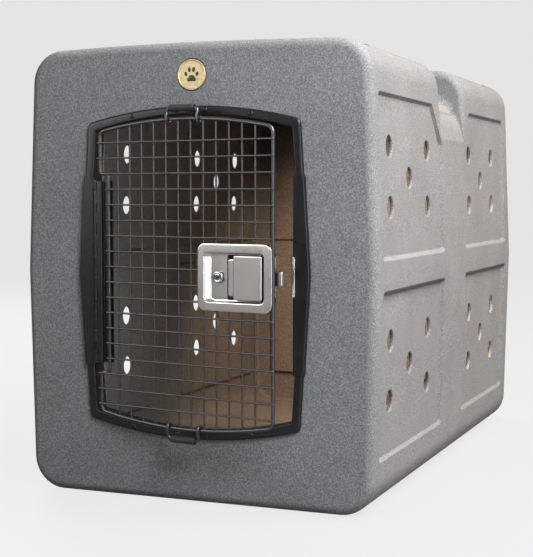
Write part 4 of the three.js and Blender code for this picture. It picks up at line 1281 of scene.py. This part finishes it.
def steel_material(name, colour, low, high, painted_corner_shade=0.45):
    """Rolled steel: a hazy grain, faint smudges, and painted shade that darkens the corners and
    crevices.
    """
    n = Nodes(name)
    n.set("Metallic", 1.0)
    grain = n.noise(1.0, 4.0, 0.7, n.scaled((900, 500, 240)))
    smudge = n.noise(22, 2.0, 0.5)
    tone = n.mix(colour, tuple(channel * 0.84 for channel in colour), grain)
    smudged = n.mix(tone, tuple(channel * 0.84 for channel in colour), smudge)
    # Painted shade: ambient occlusion darkens the colour in corners, gaps and recesses, by the
    # given share.
    corners = n.add("ShaderNodeAmbientOcclusion", samples=6)
    corners.inputs["Distance"].default_value = 0.010
    shade = n.ramp(corners.outputs["AO"], [(0.35, [1.0 - painted_corner_shade] * 3), (0.90, (1.0, 1.0, 1.0))])
    return n.finish(n.mix(smudged, shade, 1.0, "MULTIPLY"), n.span(smudge, low, high),
                    n.bump(grain, 0.05, 0.0002))


def rubber_material():
    n = Nodes("rubber")
    grain = n.noise(700, 3.0, 0.6)
    colour = n.ramp(grain, [(0.3, (0.010, 0.010, 0.010)), (0.7, (0.026, 0.025, 0.024))])
    return n.finish(colour, n.span(grain, 0.55, 0.78), n.bump(grain, 0.3, 0.0003))


def brass_material():
    n = Nodes("pale brass")
    n.set("Metallic", 0.75)
    cloud = n.noise(160, 4.0, 0.65)
    colour = n.ramp(cloud, [(0.25, (0.38, 0.29, 0.14)), (0.55, (0.58, 0.47, 0.26)),
                            (0.8, (0.66, 0.56, 0.34))])
    return n.finish(colour, n.span(n.noise(420, 3.0), 0.34, 0.55), n.bump(cloud, 0.15, 0.0004))


def enamel_material():
    n = Nodes("dark enamel")
    cloud = n.noise(300, 3.0, 0.6)
    colour = n.ramp(cloud, [(0.3, (0.018, 0.013, 0.008)), (0.7, (0.040, 0.028, 0.016))])
    return n.finish(colour, n.span(cloud, 0.28, 0.45), n.bump(cloud, 0.1, 0.0002))


def backdrop_material():
    """Pale paper. The camera sees it mostly by a glow of its own, which evens it out.

    To every other ray it is a much darker surface, so it throws little light on the carrier.
    """
    n = Nodes("paper backdrop")
    paper = n.noise(40, 3.0, 0.6)
    seen = n.add("ShaderNodeLightPath").outputs["Is Camera Ray"]
    grain = n.ramp(paper, [(0.3, (0.97, 0.97, 0.97)), (0.7, (1.0, 1.0, 1.0))])
    bounce = n.mix((0.20, 0.20, 0.21), (0.012, 0.012, 0.012), seen)
    n.set("Emission Color", (0.79, 0.79, 0.79, 1.0))
    n.link(n.span(seen, 0.0, 0.97), n.shader.inputs["Emission Strength"])
    return n.finish(n.mix(bounce, grain, 1.0, "MULTIPLY"), 0.9, n.bump(paper, 0.02, 0.001))


# ------------------------------------------------------------------ stage, light and camera

def make_backdrop():
    """A round sweep: a floor that curves up into a wall on every side."""
    profile = [(0.001, 0.0), (1.5, 0.0), (3.2, 0.0), (4.6, 0.0), (5.6, 0.16), (6.4, 0.62),
               (6.9, 1.4), (7.1, 2.5), (7.1, 5.0)]
    points, faces, sides = [], [], 64
    for radius, z in profile:
        points += [(x, y, z) for x, y in circle(radius, sides=sides)]
    for span in range(len(profile) - 1):
        for side in range(sides):
            after = (side + 1) % sides
            here, there = span * sides, (span + 1) * sides
            faces.append((here + side, here + after, there + after, there + side))
    mesh = bpy.data.meshes.new("backdrop")
    mesh.from_pydata(points, [], faces)
    for polygon in mesh.polygons:
        polygon.use_smooth = True
    mesh.materials.append(backdrop_material())
    obj = bpy.data.objects.new("backdrop", mesh)
    bpy.context.scene.collection.objects.link(obj)
    obj.location.z = -0.0005


def add_light(name, place, aim, size, watts, colour, spread=180, diffuse=True):
    """A rectangular lamp; with diffuse off it makes highlights only and lights nothing else."""
    light = bpy.data.lights.new(name, "AREA")
    light.shape = "RECTANGLE"
    light.size, light.size_y = size
    light.energy = watts
    light.color = colour
    light.spread = math.radians(spread)
    obj = bpy.data.objects.new(name, light)
    bpy.context.scene.collection.objects.link(obj)
    obj.location = place
    direction = Vector(aim) - Vector(place)
    obj.rotation_euler = direction.to_track_quat("-Z", "Y").to_euler()
    obj.visible_camera = False
    obj.visible_diffuse = diffuse


def light_scene():
    world = bpy.data.worlds.new("studio")
    bpy.context.scene.world = world
    world.use_nodes = True
    background = world.node_tree.nodes["Background"]
    background.inputs["Color"].default_value = (0.96, 0.98, 1.0, 1.0)
    background.inputs["Strength"].default_value = 0.50
    at_latch, cool = (0.05, -0.45, 0.32), (0.92, 0.96, 1.0)
    add_light("key", (1.6, 0.0, 2.35), (0.2, 0.0, 0.5), (1.5, 1.5), 152, (1.0, 0.92, 0.855))
    add_light("front fill", (0.85, -1.15, 1.15), (0.15, -0.42, 0.42), (0.6, 0.5), 23,
              (0.88, 0.94, 1.0))
    add_light("left card", (-1.9, -2.4, 1.10), at_latch, (1.6, 1.2), 33,
              (1.0, 0.97, 0.94), diffuse=False)
    add_light("front card", (0.45, -3.0, 0.50), at_latch, (0.5, 1.4), 9, cool, diffuse=False)
    add_light("right card", (1.9, -2.2, 0.45), at_latch, (0.6, 1.4), 20, cool, diffuse=False)
    add_light("rear fill", (-2.6, 2.4, 1.9), (0.0, 0.1, 0.3), (1.6, 1.6), 75, (1.0, 0.97, 0.95))
    add_light("cabin glow", (0.02, 0.05, 0.48), (0.12, 0.40, 0.06), (0.15, 0.25), 2.8,
              (1.0, 0.70, 0.46), spread=125)
    add_light("cabin fill", (0.12, -0.30, 0.52), (-0.26, -0.22, 0.3), (0.15, 0.15), 0.20,
              (0.95, 0.97, 1.0), spread=110)


CAMERA_AT = (743.57, -1995.15, 419.17)
CAMERA_YAW, CAMERA_PITCH = math.radians(22.162), math.radians(-3.852)
FOCAL_IN_HEIGHTS = 2.33024
LOOK_OFF_CENTRE = (0.00785, 0.00483)


def place_camera():
    """The angle and the lens of the picture; the long side of the image sets the lens."""
    data = bpy.data.cameras.new("camera")
    data.sensor_width = 36.0
    data.lens = FOCAL_IN_HEIGHTS * data.sensor_width
    data.shift_x, data.shift_y = LOOK_OFF_CENTRE
    data.clip_start, data.clip_end = 0.05, 60
    camera = bpy.data.objects.new("camera", data)
    bpy.context.scene.collection.objects.link(camera)
    forward = Vector((-math.sin(CAMERA_YAW) * math.cos(CAMERA_PITCH),
                      math.cos(CAMERA_YAW) * math.cos(CAMERA_PITCH), math.sin(CAMERA_PITCH)))
    camera.location = Vector(CAMERA_AT) * MM
    camera.rotation_mode = "QUATERNION"
    camera.rotation_quaternion = forward.to_track_quat("-Z", "Y")
    bpy.context.scene.camera = camera


# ------------------------------------------------------------------ assembly

def build():
    # The inside copy is darker and warmer than the outside: painted cabin shade and painted warm
    # light on the same plastic.
    materials = {"granite": granite_material("granite plastic", (1.0, 1.0, 1.0), 1.0),
                 "inside": granite_material("granite plastic with painted cabin shade", (1.06, 0.98, 0.90), 0.75)}
    coat = coat_material("powder coat", 0.8, 0.38)
    # The wires get a copy of the powder coat over twice as light as the frame's: painted sheen for
    # the light that the round wires catch.
    wire_coat_painted_sheen = coat_material("powder coat on wire with painted sheen", 1.7, 0.85)
    # The last number of each steel is how much painted shade darkens its corners and gaps.
    steel = steel_material("rolled stainless", (0.76, 0.73, 0.71), 0.19, 0.27, painted_corner_shade=0.6)
    chrome = steel_material("worn chrome", (0.66, 0.67, 0.70), 0.08, 0.14, painted_corner_shade=0.85)
    zinc = steel_material("zinc plate", (0.55, 0.56, 0.58), 0.32, 0.46)
    rubber = rubber_material()
    make_shell(materials)
    make_door_frame(coat)
    make_side_plate("hinge_side_plate", -1, coat)
    make_side_plate("latch_side_plate", 1, coat)
    make_strike(steel)
    make_rivets(coat)
    make_hinge(coat, zinc)
    make_wire_panel(wire_coat_painted_sheen)
    make_stops(wire_coat_painted_sheen, rubber)
    make_mounting_plate(coat)
    make_latch_pan(steel)
    make_paddle(steel)
    make_bolt(steel)
    make_housing(steel)
    make_lock(chrome, zinc)
    make_lock_cam(zinc)
    make_latch_small_parts(steel, zinc)
    make_badge(brass_material(), enamel_material())


build()
make_backdrop()
light_scene()
place_camera()
bpy.context.scene.view_settings.view_transform = "Standard"
